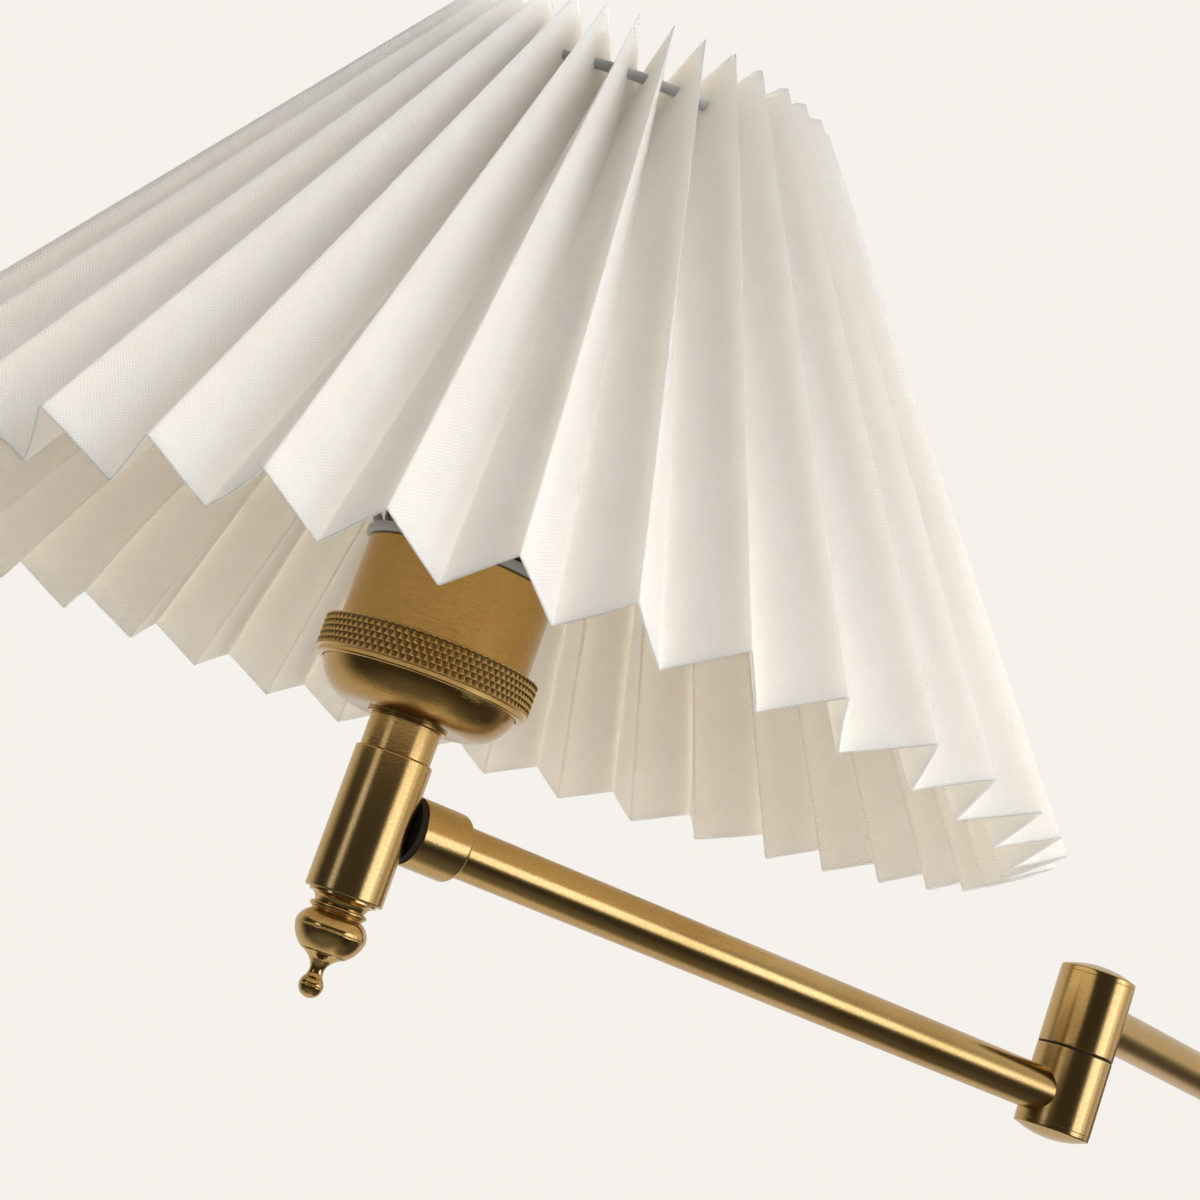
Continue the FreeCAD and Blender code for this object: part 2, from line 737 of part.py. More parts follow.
def bent_rod(name, points, bend, radius):
    """A round rod along a path of straight runs with tangent arcs of one radius."""
    edges = []
    start = points[0]
    for before, corner, after in zip(points, points[1:], points[2:]):
        into = (corner - before).normalize()
        out = (after - corner).normalize()
        turn = into.getAngle(out)
        setback = bend * math.tan(turn / 2)
        first = corner - into * setback
        last = corner + out * setback
        inward = (out - into).normalize()
        middle = corner + inward * (bend / math.cos(turn / 2) - bend)
        edges.append(Part.LineSegment(start, first).toShape())
        edges.append(Part.Arc(first, middle, last).toShape())
        start = last
    edges.append(Part.LineSegment(start, points[-1]).toShape())
    path = Part.Wire(edges)
    section = Part.Wire(Part.Circle(points[0], points[1] - points[0], radius).toShape())
    rod = document.addObject("Part::Feature", name)
    rod.Shape = path.makePipeShell([section], True, False)
    return rod


def polar(radius, angle, height):
    """A point at a radius and an angle in radians about the Z axis."""
    return Vector(radius * math.cos(angle), radius * math.sin(angle), height)


def pleat_folds(inside):
    """The fold lines of the shade as (bottom, top) pairs, ridge and valley in turn, on the
    fabric's outer or inner face. The strip is cut straight, so each panel's edges are square
    to its ridge and the valleys end lower than the ridges. The inner face lies one thickness
    behind the outer one, so its folds lie further in by the thickness over the sine of half
    the fold's angle."""
    half_pitch = math.pi / number("pleats")
    slope = number("ridge_bottom_radius - ridge_top_radius") / number("shade_height")
    folds = []
    rows = (("ridge_bottom_radius", "valley_bottom_radius", "shade_bottom"),
            ("ridge_top_radius", "valley_top_radius", "shade_bottom + shade_height"))
    levels = []
    for ridge_name, valley_name, height_name in rows:
        ridge = number(ridge_name)
        valley = number(valley_name)
        height = number(height_name)
        inward = ridge - valley * math.cos(half_pitch)
        slant = math.atan2(valley * math.sin(half_pitch), inward)
        if inside:
            ridge -= number("fabric_thick") / math.sin(slant)
            valley -= number("fabric_thick") / math.sin(slant + half_pitch)
        levels.append(((ridge, height), (valley, height - inward * slope)))
    first = math.radians(number("pleat_start"))
    for fold in range(2 * int(number("pleats"))):
        angle = first + fold * half_pitch
        bottom, top = (polar(level[fold % 2][0], angle, level[fold % 2][1]) for level in levels)
        folds.append((bottom, top))
    return folds


def pleated_shade():
    """The fabric folded into sharp zigzag pleats round a cone, as one thin closed solid, with
    the row of holes that the wire ring passes through."""
    outer = pleat_folds(False)
    inner = pleat_folds(True)
    faces = []
    for fold in range(len(outer)):
        after = (fold + 1) % len(outer)
        sides = []
        for folds in (outer, inner):
            here = Part.LineSegment(*folds[fold]).toShape()
            there = Part.LineSegment(*folds[after]).toShape()
            faces.append(Part.makeRuledSurface(here, there))
            sides.append((folds[fold], folds[after]))
        for end in (0, 1):
            edges = [Part.LineSegment(side[0][end], side[1][end]).toShape() for side in sides]
            faces.append(Part.makeRuledSurface(*edges))
    shell = Part.Shell(Part.makeShell(faces).Faces)
    shell.sewShape()
    fabric = document.addObject("Part::Feature", "pleated_fabric")
    solid = Part.Solid(shell)
    if solid.Volume < 0:
        solid.reverse()
    fabric.Shape = solid
    holes = document.addObject("Part::Torus", "ring_holes")
    holes.setExpression("Radius1", bound("ring_radius"))
    holes.setExpression("Radius2", bound("hole_radius"))
    holes.setExpression(".Placement.Base.z", bound(
        "shade_bottom + shade_height - ring_depth - hole_radius + wire_radius + 3 * slip"))
    node("pleated_shade", cut("shade", fabric, holes), POST)


def shade_frame():
    """Carrier ring, spokes and top ring, welded from flat ring and wire."""
    foot = "cup_top"
    carrier = ring("carrier", "thread_radius + slip", "carrier_radius", foot,
                   f"{foot} + carrier_thick")
    top_ring = document.addObject("Part::Torus", "top_ring")
    top_ring.setExpression("Radius1", bound("ring_radius"))
    top_ring.setExpression("Radius2", bound("wire_radius"))
    ring_height = "shade_bottom + shade_height - ring_depth"
    top_ring.setExpression(".Placement.Base.z", bound(ring_height))
    pieces = [carrier, top_ring]
    for spoke in range(int(number("spokes"))):
        angle = math.radians(number("pleat_start")) + 2 * math.pi * spoke / number("spokes")
        points = [polar(number("spoke_foot_radius"), angle, number(f"{foot} + carrier_thick / 2")),
                  polar(number("ring_radius"), angle, number("spoke_bend_height")),
                  polar(number("ring_radius"), angle, number(ring_height))]
        pieces.append(bent_rod(f"spoke_{spoke}", points, number("spoke_bend"),
                               number("spoke_radius")))
    node("shade_frame", joined("frame", *pieces), POST)


# Wall end -----------------------------------------------------------------------------------

def padded(name, outline, thickness):
    """A flat body of the outline in X and Y, as thick as the sum along Z."""
    body = document.addObject("PartDesign::Body", name)
    sketch = body_sketch(body, "XY_Plane", f"{name}_outline")
    closed_outline(sketch, outline)
    pad = body.newObject("PartDesign::Pad", f"{name}_pad")
    pad.Profile = sketch
    pad.setExpression("Length", bound(thickness))
    return body


def both_sides(name, make):
    """Two like pieces at plus and minus X."""
    return [make(f"{name}_{side}", sign) for side, sign in (("a", "0 +"), ("b", "0 -"))]


def bracket():
    """The steel strap that is screwed to the wall, with its slots, and a tab for the block."""
    end = "strap_length / 2"
    edge = "strap_width / 2"
    tab = "block_width / 2 + block_margin"
    low = "block_drop - block_height / 2 - block_margin"
    corner = "strap_corner"
    blank = padded("strap", [
        (tab, low),
        (tab, f"0 - {edge}"),
        (f"{end} - {corner}", f"0 - {edge}", corner),
        (end, f"{corner} - {edge}"),
        (end, f"{edge} - {corner}", corner),
        (f"{end} - {corner}", edge),
        (f"{corner} - {end}", edge, corner),
        (f"0 - {end}", f"{edge} - {corner}"),
        (f"0 - {end}", f"{corner} - {edge}", corner),
        (f"{corner} - {end}", f"0 - {edge}"),
        ("0 - block_width / 2 - block_margin", f"0 - {edge}"),
        ("0 - block_width / 2 - block_margin", low)], "strap_thick")

    def slot(name, sign):
        centre = f"{sign} slot_spacing / 2"
        ends = [solid_rod(f"{name}_{way}", "slot_radius", "strap_thick",
                          (f"{centre} {mark} slot_length / 2", "0", "0"))
                for way, mark in (("in", "-"), ("out", "+"))]
        middle = solid_block(f"{name}_middle", ("slot_length", "2 * slot_radius", "strap_thick"),
                             (f"{centre} - slot_length / 2", "0 - slot_radius", "0"))
        return joined(name, *ends, middle)

    cable = solid_rod("cable_opening", "cable_hole", "strap_thick")
    earth = solid_rod("earth_hole", "screw_radius", "strap_thick", ("earth_offset", "0", "0"))
    node("wall_bracket", cut("bracket", blank, cable, earth, *both_sides("slot", slot)), FACE)


def fixings():
    """The pillars on the strap and the two screws that hold the backplate to them."""
    inside = "plate_depth - plate_wall"

    def pillar(name, sign):
        centre = (f"{sign} pillar_spacing / 2", "0", "strap_thick")
        body = solid_rod(f"{name}_body", "pillar_radius", f"{inside} - strap_thick", centre)
        thread = solid_rod(f"{name}_thread", "screw_radius", "screw_reach",
                           (centre[0], "0", f"{inside} - screw_reach"))
        return cut(name, body, thread)

    def screw(name, sign):
        blank = turned(f"{name}_blank", [
            ("0", "plate_depth - screw_reach"),
            ("screw_radius", "plate_depth - screw_reach"),
            ("screw_radius", "plate_depth"),
            ("screw_head_radius", "plate_depth", "screw_head"),
            ("screw_head_radius - screw_head", "plate_depth + screw_head"),
            ("0", "plate_depth + screw_head")])
        groove = solid_block(
            f"{name}_groove", ("2 * screw_head_radius", "driver_slot", "screw_head"),
            ("0 - screw_head_radius", "0 - driver_slot / 2",
             "plate_depth + screw_head - driver_depth"))
        slotted = cut(name, blank, groove)
        slotted.setExpression(".Placement.Base.x", bound(f"{sign} pillar_spacing / 2"))
        return slotted

    for name, make in (("bracket_pillars", pillar), ("backplate_screws", screw)):
        group = document.addObject("Part::Compound", name)
        group.Links = both_sides(f"{name}_one", make)
        node(name, group, FACE)


def backplate():
    """The round cover on the wall, open at the back."""
    inside = "plate_depth - plate_wall"
    dish = turned("dish", [
        ("plate_radius - plate_wall", "0"),
        ("plate_radius", "0"),
        ("plate_radius", "plate_depth - plate_round", "plate_round"),
        ("plate_radius - plate_round", "plate_depth"),
        ("stem_thread + slip", "plate_depth"),
        ("stem_thread + slip", inside),
        ("plate_radius - plate_round", inside, "plate_round - plate_wall", HOLLOW),
        ("plate_radius - plate_wall", "plate_depth - plate_round")])

    def hole(name, sign):
        return solid_rod(name, "screw_radius + slip", "plate_depth",
                         (f"{sign} pillar_spacing / 2", "0", "0"))

    node("backplate", cut("cover", dish, *both_sides("cover_hole", hole)), FACE)


def stem():
    """The flanged stub from the backplate to the wall pivot, with its washer and nut."""
    inside = "plate_depth - plate_wall"
    flange_top = "plate_depth + stem_flange"
    node("wall_stem", turned("stub", [
        ("stem_bore", "plate_depth - stem_tail"),
        ("stem_thread", "plate_depth - stem_tail"),
        ("stem_thread", "plate_depth"),
        ("stem_flange_radius", "plate_depth"),
        ("stem_flange_radius", "plate_depth + stem_flange / 2"),
        ("stem_flange_radius - stem_flange / 2", flange_top),
        ("arm_radius", flange_top),
        ("arm_radius", "stand_off - tube_seat"),
        ("stem_bore", "stand_off - tube_seat")]), FACE)
    node("stem_washer", ring("stub_washer", "stem_thread + slip", "stem_washer_radius",
         f"{inside} - stem_washer_thick", inside), FACE)
    node("stem_nut", hexagon("stub_nut", "stem_nut_radius", "stem_thread",
         f"{inside} - stem_washer_thick - stem_nut_thick", "stem_nut_thick"), FACE)


def terminal_block():
    """The block that joins the lamp's leads to the supply, its clamp screws and the earth
    screw on the strap."""
    ways = int(number("block_ways"))
    body = solid_block("block_body", ("block_width", "block_height", "block_depth"),
                       ("0 - block_width / 2", "block_drop - block_height / 2", "strap_thick"))
    tunnels = []
    clamps = []
    for way in range(ways):
        across = f"{way} * block_pitch - {ways - 1} * block_pitch / 2"
        tunnels.append(solid_rod(
            f"block_way_{way}", "way_radius", "block_height",
            (across, "block_drop + block_height / 2", "strap_thick + block_depth / 2"),
            TOWARDS_ROOM))
        shank = ("clamp_radius", "block_depth / 2 - way_radius",
                 (across, "block_drop", "strap_thick + block_depth / 2 + way_radius"))
        tunnels.append(solid_rod(f"clamp_hole_{way}", *shank))
        clamps.append(solid_rod(f"clamp_{way}", *shank))
    node("terminal_block", cut("block", body, *tunnels), FACE)
    group = document.addObject("Part::Compound", "clamps")
    group.Links = clamps
    node("clamp_screws", group, FACE)
    head = "strap_thick + earth_washer_thick"
    place = FACE.multiply(Placement(Vector(number("earth_offset"), 0, 0), Rotation()))
    node("earth_screw", turned("earth", [
        ("0", "0"),
        ("screw_radius", "0"),
        ("screw_radius", head),
        ("earth_head_radius", head),
        ("earth_head_radius", f"{head} + earth_head"),
        ("0", f"{head} + earth_head")]), place)
    node("earth_washer", ring("earth_disc", "screw_radius + slip", "earth_washer_radius",
         "strap_thick", head), place)


# Leads --------------------------------------------------------------------------------------

CORE = number("lead_radius + lead_gap / 2")      # each core's distance from the middle
SPLIT = number("split_height + washer_thick / 2")


def leads(name, routes, bend, place):
    """Two insulated cores, one for each route."""
    group = document.addObject("Part::Compound", f"{name}_pair")
    radius = number("lead_radius")
    group.Links = [bent_rod(f"{name}_{core}", route, number(bend), radius)
                   for core, route in zip(("live", "neutral"), routes)]
    node(name, group, place)


def all_leads():
    """The two cores from the terminal block to the lampholder, in one stretch for each body."""
    out = number("stand_off")
    top = number("block_drop + block_height / 2")
    depth = number("strap_thick + block_depth / 2")
    pitch = number("block_pitch")
    rise = number("lead_rise")
    end = number("lead_end")
    supply = [[Vector(side * pitch, number("block_drop"), depth),
               Vector(side * pitch, top + rise, depth),
               Vector(side * CORE, 0, depth),
               Vector(side * CORE, 0, out),
               Vector(side * CORE, SPLIT - end, out)] for side in (-1, 1)]
    leads("supply_leads", supply, "lead_bend", FACE)
    height = number("arm_rise")
    reach = number("rear_reach")
    rear = [[Vector(0, side * CORE, SPLIT + end),
             Vector(0, side * CORE, height),
             Vector(reach, side * CORE, height),
             Vector(reach, side * CORE, SPLIT + end)] for side in (-1, 1)]
    leads("rear_arm_leads", rear, "lead_bend", WALL_UPPER)
    reach = number("front_reach")
    stop = number("stud_head_start")
    front = [[Vector(0, side * CORE, SPLIT - end),
              Vector(0, side * CORE, 0),
              Vector(reach - stop, side * CORE, 0)] for side in (-1, 1)]
    leads("front_arm_leads", front, "lead_bend", ELBOW_LOWER)
    turn_out = number("core_bottom - terminal_drop + lead_radius / 2")
    reach = number("terminal_spread - terminal_radius - 2 * slip")
    head = [[Vector(stop - end, side * CORE, 0),
             Vector(0, side * CORE, 0),
             Vector(0, side * CORE, turn_out),
             Vector(side * reach, side * CORE, turn_out)] for side in (-1, 1)]
    leads("holder_leads", head, "head_lead_bend", POST)


# Assembly -----------------------------------------------------------------------------------

bracket()
fixings()
backplate()
stem()
terminal_block()
lower_knuckle("wall", WALL_LOWER)
upper_knuckle("wall", WALL_UPPER)
pivot("wall", WALL_UPPER)
arm_tube("rear_arm", "rear_reach - tube_seat", "arm_rise", WALL_UPPER)
upper_knuckle("elbow", ELBOW_UPPER)
lower_knuckle("elbow", ELBOW_LOWER)
pivot("elbow", ELBOW_UPPER)
arm_tube("front_arm", "front_reach - collar_start - collar_web", "0", ELBOW_LOWER)
swivel()
post()
finial()
neck()
dome()
knurled_ring()
cup()
core()
lock_ring()
shade_frame()
pleated_shade()
bulb()
all_leads()
document.recompute()

for item in document.Objects:
    if {"Invalid", "Error"} & set(item.State):
        raise SystemExit(f"{item.Name} could not be built: {item.State}")
for name, piece in NODES.items():
    if piece.Shape.isNull() or not piece.Shape.isValid() or not piece.Shape.Solids:
        raise SystemExit(f"{name} has no valid solid")

os.makedirs("parts", exist_ok=True)
for name, piece in NODES.items():
    piece.Shape.exportStep(f"parts/{name}.step")
print(f"{len(NODES)} pieces written")
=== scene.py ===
"""Articulating wall lamp: the looks of its brass, wire, bulb and pleated fabric shade.

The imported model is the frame: sizes and places are read from its nodes and joints. Outlines of
turned pieces are (radius, height) in millimetres; meshes are in metres.
"""
import json

import bpy
import numpy as np
from mathutils import Matrix, Vector


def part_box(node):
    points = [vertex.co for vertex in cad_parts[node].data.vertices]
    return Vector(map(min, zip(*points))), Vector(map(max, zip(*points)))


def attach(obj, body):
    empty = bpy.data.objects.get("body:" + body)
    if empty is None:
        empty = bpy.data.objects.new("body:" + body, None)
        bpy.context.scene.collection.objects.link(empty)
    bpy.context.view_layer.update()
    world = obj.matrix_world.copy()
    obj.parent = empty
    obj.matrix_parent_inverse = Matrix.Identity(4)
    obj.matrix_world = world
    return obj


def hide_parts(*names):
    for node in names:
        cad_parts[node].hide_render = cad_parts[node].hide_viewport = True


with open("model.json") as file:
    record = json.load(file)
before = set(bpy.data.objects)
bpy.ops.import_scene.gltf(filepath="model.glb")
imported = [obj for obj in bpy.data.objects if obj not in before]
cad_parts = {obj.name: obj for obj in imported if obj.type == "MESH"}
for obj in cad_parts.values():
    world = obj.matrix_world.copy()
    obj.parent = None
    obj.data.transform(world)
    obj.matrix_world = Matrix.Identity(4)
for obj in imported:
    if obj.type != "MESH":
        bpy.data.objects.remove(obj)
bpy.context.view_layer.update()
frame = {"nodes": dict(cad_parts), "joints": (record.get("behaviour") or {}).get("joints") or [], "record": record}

MM = 0.001
UP = np.array([0.0, 0.0, 1.0])
GRAIN_RADIUS = 20                                       # one for the brushing of all pieces


# Places and sizes from the frame ------------------------------------------------------------

def pivot(joint):
    """Where a joint's axis is, in millimetres, at the height of the front arm."""
    found = next(j for j in frame["joints"] if j["name"] == joint)
    return np.array(found["pos_m"], float) / MM


def size_of(node):
    """(radius, lowest, highest) of an upright round node, in millimetres."""
    low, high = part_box(node)
    return (high.x - low.x) / 2 / MM, low.z / MM, high.z / MM


def depth_of(node):
    """(radius, nearest to the wall, furthest from it) of a node turned about the wall's axis."""
    low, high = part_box(node)
    return (high.z - low.z) / 2 / MM, -high.y / MM, -low.y / MM


def unit(vector):
    """The vector at length 1."""
    return vector / np.linalg.norm(vector)


def place(origin, along_x, along_z):
    """A frame: its origin and a matrix whose columns are its axes, with Z kept exactly."""
    z = unit(np.asarray(along_z, float))
    x = unit(np.asarray(along_x, float) - np.dot(along_x, z) * z)
    return np.asarray(origin, float), np.column_stack([x, np.cross(z, x), z])


WALL_AXIS, ELBOW_AXIS, POST_AXIS = (pivot(j) for j in ("wall_swing", "elbow_swing", "head_tilt"))
FRONT_WAY = unit(ELBOW_AXIS - POST_AXIS)
REAR_WAY = unit(WALL_AXIS - ELBOW_AXIS)
HEAD = place(POST_AXIS, FRONT_WAY, UP)                  # X runs back along the front arm
SWIVEL = place(POST_AXIS, UP, FRONT_WAY)
ELBOW = place(ELBOW_AXIS, REAR_WAY, UP)
WALL_PIVOT = place(WALL_AXIS, REAR_WAY, UP)
FACE = place((0, 0, 0), (1, 0, 0), (0, -1, 0))          # Z stands out of the wall


# Outlines -----------------------------------------------------------------------------------

def arc(start, end, radius, steps=14, hollow=False):
    """Points of the arc from start to end: centre + radius * (cos a, sin a), where the centre
    lies left of the way, or right of it if the stretch is hollow. Third value 0: no bevel."""
    start, end = np.array(start, float), np.array(end, float)
    way = end - start
    half = np.linalg.norm(way) / 2
    side = -1 if hollow else 1
    left = np.array([-way[1], way[0]]) / (2 * half)
    centre = (start + end) / 2 + left * side * np.sqrt(max(radius ** 2 - half ** 2, 0))
    first = np.arctan2(*(start - centre)[::-1])
    last = np.arctan2(*(end - centre)[::-1])
    sweep = (side * (last - first)) % (2 * np.pi)
    angle = first + side * np.linspace(0, sweep, steps + 1)
    points = centre + radius * np.column_stack([np.cos(angle), np.sin(angle)])
    return np.column_stack([points, np.zeros(len(points))])


def outline(*parts, bevel=0.2):
    """Joins (radius, height), (radius, height, bevel) and arcs into one array of corners."""
    rows = [np.atleast_2d(np.array(part, float)) for part in parts]
    rows = [row if row.shape[1] == 3 else np.column_stack([row, np.full(len(row), bevel)])
            for row in rows]
    return np.vstack(rows)


def softened(corners, closed, steps=4):
    """Rounds each corner C by its bevel: with A and B on the two runs beside it, the corner
    becomes (1-t)^2 A + 2t(1-t) C + t^2 B. A point just before A and one just after B hold the
    straight runs flat."""
    middle = corners[:, :2]
    before, after = np.roll(middle, 1, axis=0), np.roll(middle, -1, axis=0)
    run_in = np.linalg.norm(middle - before, axis=1)
    run_out = np.linalg.norm(after - middle, axis=1)
    cut = np.minimum(corners[:, 2], 0.42 * np.minimum(run_in, run_out))
    into = (before - middle) / run_in[:, None]
    out = (after - middle) / run_out[:, None]
    t = np.linspace(0, 1, steps + 1)[None, :, None]
    start = (middle + into * cut[:, None])[:, None, :]
    end = (middle + out * cut[:, None])[:, None, :]
    curve = (1 - t) ** 2 * start + 2 * t * (1 - t) * middle[:, None, :] + t ** 2 * end
    hold = 1.15 * cut[:, None]
    curve = np.concatenate([(middle + into * hold)[:, None, :], curve,
                            (middle + out * hold)[:, None, :]], axis=1)
    plain = corners[:, 2] == 0
    if not closed:
        plain[[0, -1]] = True
    groups = [middle[i:i + 1] if plain[i] else curve[i] for i in range(len(corners))]
    return np.vstack(groups)


# Surfaces -----------------------------------------------------------------------------------

def grid_faces(rows, columns, close_rows, close_columns):
    """Quads of a grid of points numbered row by row; the first side runs along a row."""
    row = np.arange(rows if close_rows else rows - 1)[:, None]
    column = np.arange(columns if close_columns else columns - 1)[None, :]
    next_row, next_column = (row + 1) % rows, (column + 1) % columns
    quads = [row * columns + column, row * columns + next_column,
             next_row * columns + next_column, next_row * columns + column]
    return np.stack([np.broadcast_to(q, (row.size, column.size)) for q in quads], -1).reshape(-1, 4)


def lathe(corners, where, closed=True, turns=128, change=None):
    """A surface of revolution: (radius cos a, radius sin a, height) for each point of the
    softened outline, listed anticlockwise, so that its faces point outwards. `change` may
    move the points (turns along axis 1) in the piece's own frame. The grain attribute is
    GRAIN_RADIUS (cos a, sin a) and the way along the outline, so that brushing runs round it."""
    line = softened(corners, closed)
    angle = np.arange(turns) * 2 * np.pi / turns
    radius, height = np.maximum(line[:, :1], 0), line[:, 1:]
    x, y = radius * np.cos(angle), radius * np.sin(angle)
    points = np.stack([x, y, np.broadcast_to(height, x.shape)], -1)
    if change:
        points = change(points)
    way = np.concatenate([[0], np.cumsum(np.linalg.norm(np.diff(line, axis=0), axis=1))])
    turned = GRAIN_RADIUS * np.stack([np.cos(angle), np.sin(angle)], -1)
    grain = np.concatenate([np.broadcast_to(turned, (len(line), turns, 2)),
                            np.broadcast_to(way[:, None, None], (len(line), turns, 1))], -1)
    quads = grid_faces(len(line), turns, closed, True)
    index = np.arange(len(line) * turns).reshape(len(line), turns)
    index[line[:, 0] < 1e-6] = index[line[:, 0] < 1e-6][:, :1]
    origin, axes = where
    world = points.reshape(-1, 3) @ axes.T + origin
    return {"points": world, "quads": index.reshape(-1)[quads], "grain": grain.reshape(-1, 3)}


def carried(route, radius, sides, closed=False):
    """A round wire along an array of points: each ring is point + radius (cos a N + sin a B),
    with N and B square to the way and N as upright as it can be. Open ends are closed by a
    last ring of radius nought."""
    route = np.asarray(route, float)
    if closed:
        way = np.roll(route, -1, axis=0) - np.roll(route, 1, axis=0)
    else:
        way = np.gradient(route, axis=0)
    way /= np.linalg.norm(way, axis=1)[:, None]
    side = np.cross(way, UP + np.array([1e-4, 2e-4, 0]))
    side /= np.linalg.norm(side, axis=1)[:, None]
    top = np.cross(side, way)
    angle = np.arange(sides) * 2 * np.pi / sides
    size = np.full(len(route), radius)
    if not closed:
        route = np.vstack([route[:1], route, route[-1:]])
        side, top = (np.vstack([v[:1], v, v[-1:]]) for v in (side, top))
        size = np.concatenate([[0], size, [0]])
    ring = np.cos(angle)[:, None] * top[:, None] + np.sin(angle)[:, None] * side[:, None]
    points = route[:, None] + ring * size[:, None, None]
    index = np.arange(points.shape[0] * sides).reshape(-1, sides)
    index[size == 0] = index[size == 0][:, :1]
    quads = index.reshape(-1)[grid_faces(points.shape[0], sides, closed, True)]
    return {"points": points.reshape(-1, 3), "quads": quads}


def mesh_of(name, surfaces):
    """One mesh of several surfaces, in metres. Quads with a doubled corner become triangles
    and points that no face uses are dropped. A value that all surfaces have is kept."""
    shift = np.cumsum([0] + [len(s["points"]) for s in surfaces])
    quads = np.vstack([s["quads"] + d for s, d in zip(surfaces, shift)])
    points = np.vstack([s["points"] for s in surfaces]) * MM
    doubled = quads == np.roll(quads, -1, axis=1)
    flat = doubled.any(axis=1)
    thin = quads[flat]
    sides = thin[~doubled[flat]].reshape(-1, 3)
    used, renumbered = np.unique(np.concatenate([quads[~flat].ravel(), sides.ravel()]),
                                 return_inverse=True)
    fours = renumbered[:4 * (~flat).sum()].reshape(-1, 4)
    threes = renumbered[4 * (~flat).sum():].reshape(-1, 3)
    mesh = bpy.data.meshes.new(name)
    mesh.from_pydata(points[used].tolist(), [], fours.tolist() + threes.tolist())
    for key in ("grain", "relief"):
        if any(key not in s for s in surfaces):
            continue
        values = np.concatenate([np.asarray(s[key], float) for s in surfaces])[used]
        kind, field = ("FLOAT_VECTOR", "vector") if values.ndim == 2 else ("FLOAT", "value")
        attribute = mesh.attributes.new(key, kind, "POINT")
        attribute.data.foreach_set(field, values.astype(np.float32).ravel())
    mesh.shade_smooth()
    return mesh


def piece(name, surfaces, body, slot, finish, *nodes):
    """A finished piece: it rides on its body, takes the finish it is given and stands for nodes. The slot is not
    used.
    """
    made = bpy.data.objects.new(name, mesh_of(name, surfaces))
    bpy.context.scene.collection.objects.link(made)
    made.data.materials.append(finish)
    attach(made, body)
    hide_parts(*nodes)
    return made


# Materials ----------------------------------------------------------------------------------

def new_material(name, **sockets):
    """A material with its node tree and principled shader; constants go on its sockets."""
    material = bpy.data.materials.new(name)
    material.use_nodes = True
    shader = material.node_tree.nodes["Principled BSDF"]
    for socket, value in sockets.items():
        shader.inputs[socket.replace("_", " ")].default_value = value
    return material, material.node_tree, shader


def add(tree, kind, values=None, **settings):
    """A node with its settings and the values of its input sockets."""
    made = tree.nodes.new(kind)
    for key, value in settings.items():
        setattr(made, key, value)
    for socket, value in (values or {}).items():
        made.inputs[socket].default_value = value
    return made


def object_point(tree, scale=(1, 1, 1)):
    """The point on the object in metres, stretched by a scale for each axis."""
    here = add(tree, "ShaderNodeTexCoord")
    mapping = add(tree, "ShaderNodeMapping", {"Scale": scale})
    tree.links.new(here.outputs["Object"], mapping.inputs["Vector"])
    return mapping.outputs["Vector"]


def grain_point(tree, scale):
    """The place in the piece's brushing, stretched by a scale."""
    here = add(tree, "ShaderNodeAttribute", attribute_name="grain")
    mapping = add(tree, "ShaderNodeMapping", {"Scale": scale})
    tree.links.new(here.outputs["Vector"], mapping.inputs["Vector"])
    return mapping.outputs["Vector"]


def noise(tree, vector, scale, detail=4.0):
    """Noise from 0 to 1 at a point."""
    made = add(tree, "ShaderNodeTexNoise", {"Scale": scale, "Detail": detail, "Roughness": 0.6})
    tree.links.new(vector, made.inputs["Vector"])
    return made.outputs["Fac"]


def spread(tree, factor, low, high, start=0.3, end=0.7):
    """Maps a factor from start..end onto low..high."""
    made = add(tree, "ShaderNodeMapRange", {"From Min": start, "From Max": end,
                                            "To Min": low, "To Max": high})
    tree.links.new(factor, made.inputs["Value"])
    return made.outputs["Result"]


def blended(tree, factor, first, second):
    """A colour between two, by a factor; either may be a colour or a socket."""
    made = add(tree, "ShaderNodeMix", data_type="RGBA")
    tree.links.new(factor, made.inputs["Factor"])
    for socket, colour in (("A", first), ("B", second)):
        target = next(i for i in made.inputs if i.name == socket and i.type == "RGBA")
        if isinstance(colour, tuple):
            target.default_value = (*colour, 1.0)
        else:
            tree.links.new(colour, target)
    return next(o for o in made.outputs if o.type == "RGBA")


def switched(tree, factor, off, on):
    """A number that is `off` where the factor is 0 and `on` where it is 1; either may be a
    socket."""
    made = add(tree, "ShaderNodeMix", data_type="FLOAT")
    tree.links.new(factor, made.inputs["Factor"])
    for socket, value in (("A", off), ("B", on)):
        target = next(i for i in made.inputs if i.name == socket and i.type == "VALUE")
        if isinstance(value, float):
            target.default_value = value
        else:
            tree.links.new(value, target)
    return made.outputs["Result"]


def bumped(tree, shader, height, distance):
    """Lets a height of `distance` metres tilt the surface of the shader."""
    made = add(tree, "ShaderNodeBump", {"Distance": distance, "Strength": 1.0})
    tree.links.new(height, made.inputs["Height"])
    tree.links.new(made.outputs["Normal"], shader.inputs["Normal"])


def summed(tree, first, second, weight):
    """first + second * weight."""
    made = add(tree, "ShaderNodeMath", {1: weight}, operation="MULTIPLY_ADD")
    tree.links.new(second, made.inputs[0])
    tree.links.new(first, made.inputs[2])
    return made.outputs[0]


def multiplied(tree, first, second):
    """first * second."""
    made = add(tree, "ShaderNodeMath", operation="MULTIPLY")
    tree.links.new(first, made.inputs[0])
    tree.links.new(second, made.inputs[1])
    return made.outputs[0]


